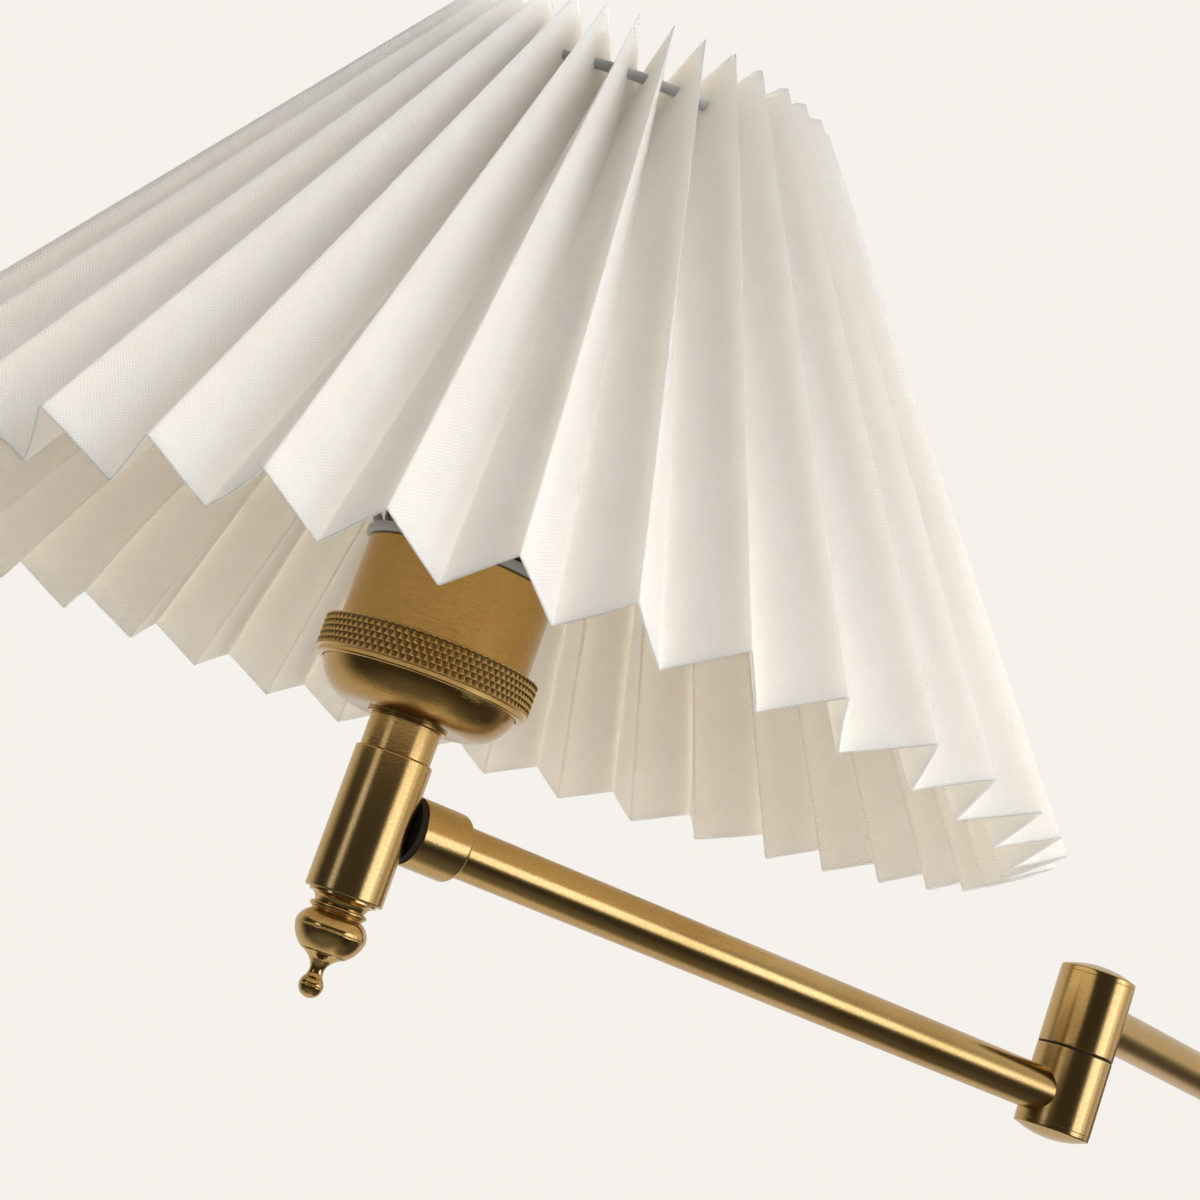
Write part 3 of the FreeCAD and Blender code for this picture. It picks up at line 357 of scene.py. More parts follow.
def satin_brass(name, bright, dull, rough, streak, brush):
    """Brass with a fine even grain, brushed along its grain attribute, with a faint uneven tone
    where it has been handled. `streak` is how much of the grain is brushing, and `brush` is its
    height in metres."""
    material, tree, shader = new_material(name, Metallic=1.0)
    streaks = noise(tree, grain_point(tree, STREAKS), 1.0, 2.0)
    specks = noise(tree, object_point(tree), SPECKS, 2.0)
    both = summed(tree, specks, streaks, streak)
    low, high = 0.35 * (1 + streak), 0.65 * (1 + streak)
    grain = spread(tree, both, 0, 1, low, high)
    handled = noise(tree, object_point(tree), HANDLED, 2.0)
    tone = summed(tree, spread(tree, handled, -0.3, 0.5), grain, 0.8)
    tree.links.new(blended(tree, tone, bright, dull), shader.inputs["Base Color"])
    tree.links.new(spread(tree, both, rough * 0.92, rough * 1.08, low, high),
                   shader.inputs["Roughness"])
    bumped(tree, shader, both, brush)
    return material


def knurled_brass():
    """The same brass, dark where dirt stays in the grooves and bright on the worn points."""
    material, tree, shader = new_material("knurled_brass", Metallic=1.0)
    relief = add(tree, "ShaderNodeAttribute", attribute_name="relief").outputs["Fac"]
    tree.links.new(blended(tree, spread(tree, relief, 0, 1, 0.0, 0.45), GROOVE_TONE, BRASS_TONE),
                   shader.inputs["Base Color"])
    wear = noise(tree, object_point(tree), WEAR, 3.0)
    tree.links.new(spread(tree, wear, 0.16, 0.28), shader.inputs["Roughness"])
    bumped(tree, shader, wear, 0.00001)
    return material


def mottled(name, light, dark, scale, rough, grain=0.00001, **sockets):
    """A plain finish whose tone and roughness wander a little over the surface."""
    material, tree, shader = new_material(name, **sockets)
    patches = noise(tree, object_point(tree), scale)
    fine = noise(tree, object_point(tree), FINE, 3.0)
    tree.links.new(blended(tree, spread(tree, patches, 0, 1), light, dark),
                   shader.inputs["Base Color"])
    tree.links.new(spread(tree, fine, rough * 0.85, rough * 1.15), shader.inputs["Roughness"])
    bumped(tree, shader, fine, grain)
    return material


def woven(name, light, shade):
    """Fine plain weave on a stiff backing. The cloth's own map is in millimetres: threads run
    along and across it at THREAD_PITCH, over and under in turn, thicker and thinner. With u and
    v the place on the map, shifted a little by noise, the weave is sin(k u) sin(k v), where k is
    2 pi / THREAD_PITCH."""
    material, tree, shader = new_material(
        name, Roughness=0.85, Sheen_Weight=0.15, Specular_IOR_Level=0.25, Subsurface_Weight=0.5,
        Subsurface_Radius=(1.0, 0.85, 0.62), Subsurface_Scale=0.006)
    shader.subsurface_method = "BURLEY"
    cloth = add(tree, "ShaderNodeUVMap", uv_map="cloth").outputs["UV"]
    wobble = add(tree, "ShaderNodeTexNoise", {"Scale": 0.35, "Detail": 3.0})
    tree.links.new(cloth, wobble.inputs["Vector"])
    shifted = add(tree, "ShaderNodeVectorMath", {1: (THREAD_SWAY, THREAD_SWAY, 0.0)},
                  operation="MULTIPLY_ADD")
    tree.links.new(wobble.outputs["Color"], shifted.inputs[0])
    tree.links.new(cloth, shifted.inputs[2])
    turned = add(tree, "ShaderNodeVectorMath", {"Scale": 2 * np.pi / THREAD_PITCH},
                 operation="SCALE")
    tree.links.new(shifted.outputs[0], turned.inputs[0])
    parts = add(tree, "ShaderNodeSeparateXYZ")
    tree.links.new(turned.outputs[0], parts.inputs[0])
    waves = []
    for axis in ("X", "Y"):
        wave = add(tree, "ShaderNodeMath", operation="SINE")
        tree.links.new(parts.outputs[axis], wave.inputs[0])
        waves.append(wave.outputs[0])
    weave = multiplied(tree, *waves)
    slub = noise(tree, cloth, 1.6, 3.0)
    bumped(tree, shader, summed(tree, weave, slub, 1.5), THREAD_HEIGHT)
    tone = spread(tree, summed(tree, noise(tree, cloth, 0.06), weave, 0.08), 0, 1)
    tree.links.new(blended(tree, tone, light, shade), shader.inputs["Base Color"])
    return material


BRASS_TONE = (0.64, 0.425, 0.165)
BRASS_DULL = (0.50, 0.31, 0.10)
BRUSHED_TONE = (0.54, 0.34, 0.115)
BRUSHED_DULL = (0.42, 0.25, 0.075)
GROOVE_TONE = (0.16, 0.092, 0.032)
STREAKS = (0.3, 0.3, 6.0)                               # cells of noise per unit of grain
SPECKS, WEAR, FINE, HANDLED = 2400.0, 2200.0, 2500.0, 22.0          # and per metre
THREAD_PITCH, THREAD_SWAY = 0.8, 0.5                    # millimetres
THREAD_HEIGHT = 0.00004                                 # metres

BRASS = satin_brass("satin_brass", BRASS_TONE, BRASS_DULL, 0.20, 0.4, 0.000012)
BRUSHED = satin_brass("brushed_brass", BRUSHED_TONE, BRUSHED_DULL, 0.17, 2.0, 0.000018)
POLISHED = satin_brass("polished_brass", BRASS_TONE, BRASS_DULL, 0.13, 0.3, 0.000004)
KNURL = knurled_brass()
INNER_BRASS = mottled("machined_brass", (0.70, 0.55, 0.28), (0.55, 0.40, 0.17), 200.0, 0.3,
                      Metallic=1.0)
STEEL = mottled("zinc_plate", (0.62, 0.63, 0.65), (0.48, 0.49, 0.50), 350.0, 0.35, Metallic=1.0)
FIBRE = mottled("black_fibre", (0.016, 0.012, 0.009), (0.026, 0.02, 0.015), 400.0, 0.75, 0.00003)
PORCELAIN = mottled("glazed_porcelain", (0.80, 0.79, 0.76), (0.74, 0.73, 0.69), 60.0, 0.12)
LOCK = mottled("dark_moulding", (0.035, 0.035, 0.036), (0.05, 0.05, 0.05), 90.0, 0.45, 0.00002)
WIRE = mottled("coated_wire", (0.60, 0.60, 0.59), (0.50, 0.50, 0.49), 150.0, 0.38, 0.00001)
BULB_METAL = mottled("spun_aluminium", (0.72, 0.72, 0.72), (0.6, 0.6, 0.6), 200.0, 0.28,
                     Metallic=1.0)
OPAL = mottled("opal_glass", (0.86, 0.86, 0.84), (0.82, 0.82, 0.80), 30.0, 0.1, 0.0)
BLOCK = mottled("block_moulding", (0.72, 0.70, 0.64), (0.65, 0.63, 0.57), 80.0, 0.4)
SILICONE = mottled("lead_sheath", (0.66, 0.65, 0.61), (0.58, 0.57, 0.53), 90.0, 0.5)
CLOTH_OUT = woven("shade_weave", (0.865, 0.852, 0.825), (0.84, 0.825, 0.795))
# Inner face: its backing is a little warmer than the outer face. It is also darker and warmer still, as painted
# shade inside the lampshade.
CLOTH_IN_PAINTED_SHADE = woven("inner_cloth_painted_shade", (0.845, 0.805, 0.745), (0.82, 0.775, 0.71))


# Wall end -----------------------------------------------------------------------------------

def wall_plate():
    """The dished cover with its rolled edge, and the flanged stub that carries the pivot."""
    radius, _, depth = depth_of("backplate")
    wall, roll, hole = 1.4, 6.0, 5.1
    inside = depth - wall
    shape = outline(
        (radius - wall, 0), (radius, 0),
        arc((radius, depth - roll), (radius - roll, depth), roll),
        (hole, depth), (hole, inside),
        arc((radius - roll, inside), (radius - wall, depth - roll), roll - wall, hollow=True))
    piece("wall_cover", [lathe(shape, FACE, turns=192)], "wall_base", "brass", BRUSHED, "backplate")

    flange, back, _ = depth_of("wall_stem")
    tube = (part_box("front_arm")[1].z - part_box("front_arm")[0].z) / 2 / MM
    bore, thread, thick, overlap = 3.2, 5.0, 3.0, 1.2
    rim, edge = depth + thick, thick / 2
    reach = -WALL_AXIS[1] - size_of("wall_knuckle_lower")[0] + overlap
    stub = outline(
        (bore, back), (thread, back), (thread, depth), (flange, depth),
        (flange, depth + edge, 0.5), (flange - edge, rim, 0.5), (tube, rim), (tube, reach),
        (bore, reach))
    piece("wall_stub", [lathe(stub, FACE)], "wall_base", "brass", BRASS, "wall_stem")


SCREW_HEAD = 4.2


def slotted_screw(where):
    """A pan-head screw: the head's outline is a quarter round, and points inside the driver
    slot sink to its floor."""
    shank, end, seat, top, crown = 2, 14, 22, 24.4, 2.3
    slot_half, slot_deep = 0.45, 1.0
    shape = outline((0, end), (shank, end), (shank, seat), (SCREW_HEAD, seat, 0.1),
                    arc((SCREW_HEAD, top - crown), (SCREW_HEAD - crown, top), crown, 10), (0, top))

    def cut(points):
        inside = (np.abs(points[..., 1]) < slot_half) & (points[..., 2] > top - slot_deep)
        points[..., 2] = np.where(inside, top - slot_deep, points[..., 2])
        return points

    dense = np.vstack([shape[:-1], [[r, top, 0] for r in np.linspace(1.8, 0.1, 18)], shape[-1:]])
    return lathe(dense, where, closed=False, turns=192, change=cut)


def wall_screws():
    """The two screws that hold the cover."""
    low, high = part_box("backplate_screws")
    half = (high.x - low.x) / 2 / MM - SCREW_HEAD
    both = [slotted_screw(place((side * half, 0, 0), (1, 0, 0), (0, -1, 0))) for side in (-1, 1)]
    piece("cover_screws", both, "wall_base", "brass", BRASS, "backplate_screws")


# Knuckles and arms --------------------------------------------------------------------------

def knuckle(name, node, where, opening_below, body):
    """Half a pivot: a cup with its end wall at the split, open where its cap plugs in."""
    radius, low, top = size_of(node)
    bore, web, hole = 7.4, 2.4, 4.05
    if opening_below:
        shape = outline((bore, low), (radius, low, 0.12), (radius, top, 0.22), (hole, top),
                        (hole, top - web), (bore, top - web))
    else:
        shape = outline((hole, low), (radius, low, 0.22), (radius, top, 0.12), (bore, top),
                        (bore, low + web), (hole, low + web))
    piece(name, [lathe(shape, where, turns=160)], body, "brass", BRASS, node)


def cap(name, node, where, above, body):
    """A crowned cap with a rounded rim, a hair narrower than its knuckle. The crown is an arc
    from the rim to the axis."""
    _, low, top = size_of(node)
    rim, crown, skirt, hair, sphere, plug = 0.45, 1.8, 1.4, 0.05, 22.3, 7.35
    inset, lift = 0.15, 0.03                            # from the rim's end to the crown's
    outer = size_of("elbow_knuckle_upper")[0] - hair
    if above:
        seat = top - crown - skirt
        shape = outline(
            (0, low), (plug, low), (plug, seat), (outer, seat, 0.08),
            arc((outer, top - crown - rim), (outer - rim, top - crown), rim, 8),
            arc((outer - rim - inset, top - crown + lift), (0, top), sphere, 16))
    else:
        seat = low + crown + skirt
        shape = outline(
            arc((0, low), (outer - rim - inset, low + crown - lift), sphere, 16),
            arc((outer - rim, low + crown), (outer, low + crown + rim), rim, 8),
            (outer, seat, 0.08), (plug, seat), (plug, top), (0, top))
    piece(name, [lathe(shape, where, closed=False, turns=160)], body, "brass", BRASS, node)


def arm(name, node, start, end, height, begin, finish, body):
    """A tube whose ends are cut to the round of what they meet: a point at sideways place y
    is moved along the tube by radius - sqrt(radius^2 - y^2) of that knuckle."""
    way = unit(end - start)
    tube = (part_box("rear_arm")[1].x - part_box("rear_arm")[0].x) / 2 / MM
    bore, blend = tube - 1.0, 6
    length = np.linalg.norm(end - start)
    (first, first_round), (last, last_round) = begin, finish

    def fitted(points):
        side, along = points[..., 1], points[..., 2]
        for from_end, radius, sign in ((first, first_round, -1), (length - last, last_round, 1)):
            if radius:
                sink = radius - np.sqrt(radius ** 2 - side ** 2)
                near = np.clip(1 - np.abs(along - from_end) / blend, 0, 1)
                along = along + sign * sink * near
        points[..., 2] = along
        return points

    steps = np.linspace(first + blend / 2, length - last - blend / 2, 24)
    shape = outline((bore, first), (tube, first, 0.25), *[(tube, s, 0) for s in steps],
                    (tube, length - last, 0.25), (bore, length - last),
                    *[(bore, s, 0) for s in steps[::-1]])
    where = place(start + UP * height, UP, way)
    piece(name, [lathe(shape, where, turns=96, change=fitted)], body, "brass", BRASS, node)


def arms_and_knuckles():
    """Both pivots and both tubes."""
    for stem, where, low_body, high_body in (
            ("wall", WALL_PIVOT, "wall_base", "rear_arm_body"),
            ("elbow", ELBOW, "front_arm_body", "rear_arm_body")):
        knuckle(f"{stem}_sleeve_low", f"{stem}_knuckle_lower", where, True, low_body)
        knuckle(f"{stem}_sleeve_high", f"{stem}_knuckle_upper", where, False, high_body)
        cap(f"{stem}_end_low", f"{stem}_cap_lower", where, False, low_body)
        cap(f"{stem}_end_high", f"{stem}_cap_upper", where, True, high_body)
    round_ = size_of("elbow_knuckle_upper")[0]
    rear_low, rear_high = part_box("rear_arm")
    rear_height = (rear_low.z + rear_high.z) / 2 / MM
    sunk, collar_floor = round_ - 0.05, 12.9
    arm("rear_tube", "rear_arm", WALL_AXIS, ELBOW_AXIS, rear_height,
        (sunk, round_), (sunk, round_), "rear_arm_body")
    arm("front_tube", "front_arm", ELBOW_AXIS, POST_AXIS, 0.0,
        (sunk, round_), (collar_floor, 0), "front_arm_body")


# Swivel, post and finial --------------------------------------------------------------------

def swivel():
    """The collar, square at the post and rounded where the tube goes in."""
    radius = (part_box("swivel_collar")[1].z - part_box("swivel_collar")[0].z) / 2 / MM
    near, length, round_, tube, web, bore = 8.7, 12.0, 1.2, 5.52, 4.2, 3.4
    end = near + length
    shape = outline(
        (bore, near), (radius, near, 0.18),
        arc((radius, end - round_), (radius - round_, end), round_, 10),
        (tube, end, 0.1), (tube, near + web), (bore, near + web))
    piece("front_collar", [lathe(shape, SWIVEL)], "front_arm_body", "brass", BRASS, "swivel_collar")


def post():
    """The upright, with a flat milled where the swivel's washer bears: points nearer than its
    radius to the swivel's axis don't pass its plane."""
    radius, low, top = size_of("post")
    flat, seat, socket, deep = 7.2, 7.3, 5.2, 2
    wall = [(radius, z, 0) for z in np.linspace(-flat - 1, flat + 1, 90)]
    shape = outline((0, low), (radius, low, 0.35), *wall, (radius, top, 0.35), (socket, top),
                    (socket, top - deep), (0, top - deep))

    def milled(points):
        across = np.hypot(points[..., 1], points[..., 2])
        facing = (across < flat) & (points[..., 0] > seat)
        points[..., 0] = np.where(facing, seat, points[..., 0])
        return points

    piece("upright_post", [lathe(shape, HEAD, closed=False, turns=288, change=milled)],
          "lamp_head", "brass", BRASS, "post")


def finial():
    """The turned drop: rim, cove, bead, groove, acorn, waisted stalk and ball."""
    _, tip, _ = size_of("finial")
    seat = size_of("post")[1]

    def down(radius, depth, bevel=0.12):
        return radius, seat - depth, bevel

    ball = 2.5
    centre = tip + ball
    shape = outline(
        arc((0, tip), (ball, centre), ball, 14),
        arc((ball, centre), (1.75, centre + 1.79), ball, 8),
        arc((1.72, centre + 1.95), (1.5, seat - 15.2), 2.6, 8, True),
        arc((1.5, seat - 15.0), (2.2, seat - 13.6), 3.0, 8, True),
        arc((2.3, seat - 13.4), (4.6, seat - 11.9), 6.0, 8, True),
        arc((4.6, seat - 11.9), (7.4, seat - 7.4), 7.0, 14),
        arc((7.4, seat - 7.4), (5.6, seat - 4.1), 3.9, 14),
        down(5.2, 3.9), down(5.35, 3.6),
        arc((5.6, seat - 3.45), (5.5, seat - 2.35), 0.58, 8),
        down(5.15, 2.2),
        arc((5.2, seat - 2.1), (6.7, seat - 0.6), 1.9, 10, True),
        down(6.95, 0.55, 0.08), down(6.95, 0.0, 0.08), down(0, 0.0))
    piece("turned_finial", [lathe(shape, HEAD, closed=False, turns=128)],
          "lamp_head", "brass", POLISHED, "finial")


# Lampholder ---------------------------------------------------------------------------------

LOCK_BORE = 15.65                                       # clears the cup's thread


def holder():
    """Neck, spun dome, cup with its threaded mouth, and the ring that locks the shade."""
    bore = 5.05
    radius, low, top = size_of("neck_sleeve")
    neck = outline((bore, low), (radius, low, 0.15), (radius, top, 0.15), (bore, top))
    piece("neck_tube", [lathe(neck, HEAD)], "lamp_head", "brass", BRASS, "neck_sleeve")

    radius, low, top = size_of("holder_dome")
    wall, lip, lip_radius, flat, curve, inner = 1.0, 0.6, 8.4, 10.5, 8.8, 18.4
    bottom, stand, step = low + lip, top - 5.0, top - 2.9
    bowl = outline(
        (bore, low), (lip_radius, low, 0.12), (lip_radius, bottom, 0.1),
        arc((flat, bottom), (radius, stand), curve, 28),
        (radius, top), (radius - wall, top), (radius - wall, step), (inner, step),
        arc((inner, stand), (flat, bottom + wall), curve, 20, True),
        (bore, bottom + wall))
    piece("spun_dome", [lathe(bowl, HEAD, turns=192)], "lamp_head", "brass", BRUSHED, "holder_dome")

    radius, low, top = size_of("holder_cup")
    shoulder, thread, mouth, pitch = top - 8.0, 15.6, 14.8, 2.0
    crests = [(thread - 0.35 * (i % 2), shoulder + 0.6 + i * pitch / 2, 0.3) for i in range(8)]
    cup = outline(
        (radius - wall, low), (radius, low, 0.1), (radius, shoulder, 0.6), (thread, shoulder, 0.1),
        *crests, (thread - 0.3, top), (mouth, top), (mouth, shoulder - wall),
        (radius - wall, shoulder - wall))
    piece("brushed_cup", [lathe(cup, HEAD, turns=192)], "lamp_head", "brass", BRUSHED, "holder_cup")

    radius, low, top = size_of("lock_ring")
    notches, notch_depth, band, foot = 24, 0.45, 0.8, 16.9

    def fluted(points):
        angle = np.arctan2(points[..., 1], points[..., 0])
        out = np.hypot(points[..., 0], points[..., 1])
        depth = notch_depth * np.clip(np.cos(notches * angle) * 3 - 1.6, 0, 1)
        share = np.where(out > radius - band, 1 - depth / out, 1)
        points[..., :2] *= share[..., None]
        return points

    ring = outline(
        (LOCK_BORE, low), (foot, low, 0.3), (radius, low + 2.6, 0.5),
        arc((radius, top - 2.0), (radius - 2.0, top), 2.0, 10), (LOCK_BORE, top))
    piece("shade_lock_ring", [lathe(ring, HEAD, turns=384, change=fluted)],
          "lamp_head", "lock_plastic", LOCK, "lock_ring")


def clamp_ring():
    """The knurled ring. The knurl is two crossed sets of helical grooves: with p and q the
    places across the two sets, in grooves, the surface stands in by the deeper of the two
    triangle waves, which leaves rows of small diamonds with blunt points."""
    radius, low, top = size_of("knurled_ring")
    lip, lip_radius, grooves, rise, depth, blunt = 1.3, 21.8, 90, 2.5, 0.55, 0.75
    across, along = 10 * grooves, 44
    start, end, fading = low + lip + 0.12, top - 0.3, 0.25
    inner_low, inner_high, split = 20.65, 20.05, low + 5.0
    heights = np.linspace(start, end, along)
    band = [(radius, z, 0) for z in heights]
    shape = outline(
        (inner_low, low, 0.15), (lip_radius, low, 0.45), (lip_radius, low + lip, 0.1),
        *band, (radius - 0.35, top, 0.25), (inner_high, top), (inner_high, split),
        (inner_low, split))
    relief = []

    def knurl(points):
        angle = np.arctan2(points[..., 1], points[..., 0])
        out = np.hypot(points[..., 0], points[..., 1])
        turn, climb = angle * grooves / (2 * np.pi), points[..., 2] / rise
        p, q = turn + climb, turn - climb
        valley = np.minimum(*(2 * np.abs(w - np.round(w)) for w in (p, q)))
        high = np.clip(valley / blunt, 0, 1)
        inside = (points[..., 2] > start) & (points[..., 2] < end) & (out > radius - 0.01)
        fade = np.clip(np.minimum(points[..., 2] - start, end - points[..., 2]) / fading, 0, 1)
        sink = np.where(inside, depth * (1 - high) * fade, 0)
        relief.append(np.where(inside, np.where(fade > 0, high, 1), 1))
        points[..., :2] *= (1 - sink / out)[..., None]
        return points

    made = lathe(shape, HEAD, turns=across, change=knurl)
    made["relief"] = relief[0].reshape(-1)
    piece("diamond_ring", [made], "lamp_head", "brass", KNURL, "knurled_ring")


def bulb():
    """The screw cap with its rolled thread, and the opal globe."""
    radius, low, top = size_of("bulb_cap")
    contact, thread_start, half_pitch, thread_depth, turns = 4.6, low + 6.5, 1.7, 0.55, 5
    rolled = [(radius - thread_depth * (i % 2), thread_start + i * half_pitch, 0.6)
              for i in range(2 * turns)]
    shape = outline((0, low), (contact, low), (contact, low + 1.2), (radius - 0.6, low + 3.8),
                    *rolled, (radius, top - 0.5), (0, top - 0.5))
    piece("bulb_screw_cap", [lathe(shape, HEAD, closed=False)], "lamp_head", "bulb_metal",
          BULB_METAL, "bulb_cap")
    radius, low, top = size_of("bulb_glass")
    widest = top - radius
    neck, waist = 13.1, (19.5, low + 22)
    globe = outline(
        (0, low, 0), (12.3, low), (neck, low, 0.1), arc((neck, low + 4), waist, 60, 12, True),
        arc(waist, (radius, widest), 36, 16), arc((radius, widest), (0, top), radius, 30))
    piece("opal_globe", [lathe(globe, HEAD, closed=False, turns=160)], "lamp_head",
          "bulb_glass", OPAL, "bulb_glass")


# Shade --------------------------------------------------------------------------------------

PLEATS = 40
FIRST_FOLD = np.radians(-153.0)
CLOTH, BOW = 0.5, 0.16                                  # thickness, spread of the panels' bow
RIDGE_HEIGHT = 126.0                                    # measured upright
BOTTOM_FOLDS = np.array([132.5, 123.0])                 # radius of ridges and valleys
TOP_FOLDS = np.array([44.0, 31.6])
PANEL, STRIP = 15.5, 156.5                              # a panel's width, the strip's width


def fold_lines(inside):
    """(bottom, top) points of the folds, ridge and valley in turn. The panels' edges are square
    to their ridges, so a valley's ends lie lower by its distance inward times the shade's
    slope. The inner face's folds lie further in by the cloth over the sine of half the fold's
    angle. A little sway, the same each time, keeps the folds from being all alike."""
    top = size_of("pleated_shade")[2]
    half_pitch = np.pi / PLEATS
    slope = (BOTTOM_FOLDS[0] - TOP_FOLDS[0]) / RIDGE_HEIGHT
    folds = np.arange(2 * PLEATS)
    sway = np.random.RandomState(7).normal(0, 1, (2, 2 * PLEATS))
    sideways = 0.004
    lines = []
    for radii, height, loose in ((BOTTOM_FOLDS, top - RIDGE_HEIGHT, 0.5), (TOP_FOLDS, top, 0.2)):
        ridge, valley = radii
        inward = ridge - valley * np.cos(half_pitch)
        slant = np.arctan2(valley * np.sin(half_pitch), inward)
        depth = CLOTH / np.sin([slant, slant + half_pitch]) if inside else np.zeros(2)
        radius = (radii - depth)[folds % 2] + sway[0] * loose
        angle = FIRST_FOLD + folds * half_pitch + sway[1] * sideways
        level = np.array([height, height - inward * slope])[folds % 2]
        lines.append(np.column_stack([radius * np.cos(angle), radius * np.sin(angle), level]))
    return lines


def pleat_face(inside, share_up, crease):
    """One face of the cloth as a grid: rows at shares of the way up the pleats, and round the
    shade six points on each panel and five across each fold F, (1-t)^2 A + 2t(1-t) F + t^2 B,
    with A and B at the crease's width (for ridges and valleys) on the panels beside it. Panels
    bow by a sine across them, times the square root of the share that is left to the top."""
    bottom, top = fold_lines(inside)
    rows = len(share_up)
    up = share_up[:, None, None]
    fold = bottom[None] * (1 - up) + top[None] * up
    after, before = np.roll(fold, -1, axis=1), np.roll(fold, 1, axis=1)
    width = np.linalg.norm(after - fold, axis=2, keepdims=True)
    cut = crease[np.arange(2 * PLEATS) % 2][None, :, None]
    a = fold + (before - fold) * cut / np.roll(width, 1, axis=1)
    b = fold + (after - fold) * cut / width
    next_a = after + (fold - after) * np.roll(cut, -1, axis=1) / width
    t = np.linspace(0, 1, 5)[None, None, :, None]
    turn = ((1 - t) ** 2 * a[:, :, None] + 2 * t * (1 - t) * fold[:, :, None]
            + t ** 2 * b[:, :, None])
    stops = np.array([0.03, 0.12, 0.34, 0.66, 0.88, 0.97])
    s = stops[None, None, :, None]
    panel = b[:, :, None] * (1 - s) + next_a[:, :, None] * s
    across = np.cross(after - fold, (top - bottom)[None])
    across /= np.linalg.norm(across, axis=2, keepdims=True)
    bow = np.random.RandomState(11).normal(0.0, BOW, 2 * PLEATS)[None, :, None, None]
    shape = np.sin(np.pi * s) * (1 - up[..., None]) ** 0.5
    panel = panel + across[:, :, None] * bow * shape
    points = np.concatenate([turn, panel], axis=2)
    share = np.concatenate([np.linspace(-stops[0], stops[0], 5), stops])
    flat_u = (np.arange(2 * PLEATS)[:, None] + share[None]).reshape(-1) * PANEL
    return points.reshape(rows, -1, 3), flat_u


def pleated_shade():
    """The folded cloth: an outer and an inner face, joined at both rims. A row lies close to
    each rim, so that the shading turns only at the cut edge."""
    up = np.concatenate([[0, 0.003], np.linspace(0.03, 0.97, 32), [0.997, 1]])
    rows = len(up)
    outer, flat_u = pleat_face(False, up, np.array([0.45, 0.35]))
    inner, _ = pleat_face(True, up, np.array([0.12, 0.55]))
    columns = outer.shape[1]
    points = np.concatenate([outer, inner[::-1]], axis=0)
    origin, axes = HEAD
    world = (points.reshape(-1, 3) @ axes.T + origin) * MM
    quads = grid_faces(2 * rows, columns, True, True)
    mesh = bpy.data.meshes.new("pleated_cloth")
    mesh.from_pydata(world.tolist(), [], quads.tolist())
    flat_v = STRIP * up
    v = np.concatenate([flat_v, flat_v[::-1]])
    loops = quads.reshape(-1)
    u_of = flat_u[loops % columns]
    wraps = (quads % columns == 0).any(axis=1) & (quads % columns == columns - 1).any(axis=1)
    first = np.repeat(wraps, 4) & (loops % columns == 0)
    u_of = np.where(first, u_of + 2 * PLEATS * PANEL, u_of)
    cloth_map = np.column_stack([u_of, v[loops // columns]]).astype(np.float32)
    mesh.uv_layers.new(name="cloth").data.foreach_set("uv", cloth_map.ravel())
    # Inner faces take the inner cloth colour, which carries painted shade.
    painted_shade_faces = (quads.min(axis=1) // columns >= rows).astype(np.int32)
    mesh.polygons.foreach_set("material_index", painted_shade_faces)
    mesh.shade_smooth()
    made = bpy.data.objects.new("pleated_cloth", mesh)
    bpy.context.scene.collection.objects.link(made)
    mesh.materials.append(CLOTH_OUT)
    mesh.materials.append(CLOTH_IN_PAINTED_SHADE)
    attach(made, "lamp_head")
    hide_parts("pleated_shade")


def wire_frame():
    """The carrier ring that the holder clamps, four bent spokes and the ring that is threaded
    through the pleats."""
    low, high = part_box("shade_frame")
    base, thick, rim, round_ = low.z / MM, 2.0, 21.0, 0.7
    ring_radius, ring_wire, spoke_wire = 42.0, 1.1, 1.0
    ring_height = high.z / MM - ring_wire
    foot_radius, knee_height, bend = 19.6, 80.0, 7.0
    around = np.arange(192) * 2 * np.pi / 192
    ring = np.column_stack([ring_radius * np.cos(around), ring_radius * np.sin(around),
                            np.full(192, ring_height)])
    origin, axes = HEAD
    piece("threaded_ring", [carried(ring @ axes.T + origin, ring_wire, 24, closed=True)],
          "lamp_head", "white_wire", WIRE, "shade_frame")
    flange = outline((LOCK_BORE, base, 0.3), (rim, base, round_),
                     (rim, base + thick, round_), (LOCK_BORE, base + thick, 0.3))
    carrier = [lathe(flange, HEAD, turns=160)]
    foot = np.array([foot_radius, 0, base + thick / 2])
    knee = np.array([ring_radius, 0, knee_height])
    head = np.array([ring_radius, 0, ring_height])
    into, out = unit(foot - knee), unit(head - knee)
    t = np.linspace(0, 1, 12)[:, None]
    curve = ((1 - t) ** 2 * (knee + into * bend) + 2 * t * (1 - t) * knee
             + t ** 2 * (knee + out * bend))
    line = np.vstack([foot, foot + (knee - foot) * 0.4, curve, knee + (head - knee) * 0.5, head])
    for spoke in range(4):
        angle = FIRST_FOLD + spoke * np.pi / 2
        turned = np.column_stack([line[:, 0] * np.cos(angle), line[:, 0] * np.sin(angle),
                                  line[:, 2]])
        carrier.append(carried(turned @ axes.T + origin, spoke_wire, 16))
    piece("shade_carrier", carrier, "lamp_head", "white_wire", WIRE)


# Carried-over nodes -------------------------------------------------------------------------

def finish_nodes():
    """The nodes whose own shape stays get their finish from their slot."""
    finishes = {"brass": BRASS, "inner_brass": INNER_BRASS, "steel": STEEL, "fibre": FIBRE,
                "porcelain": PORCELAIN, "lock_plastic": LOCK, "white_wire": WIRE,
                "bulb_metal": BULB_METAL, "bulb_glass": OPAL, "block_plastic": BLOCK,
                "lead_insulation": SILICONE, "shade_fabric": CLOTH_OUT}
    for row in frame["record"]["subparts"]:
        node = frame["nodes"][row["node"]]
        node.data.materials.clear()
        node.data.materials.append(finishes[row["material_slot"]])


# Studio -------------------------------------------------------------------------------------

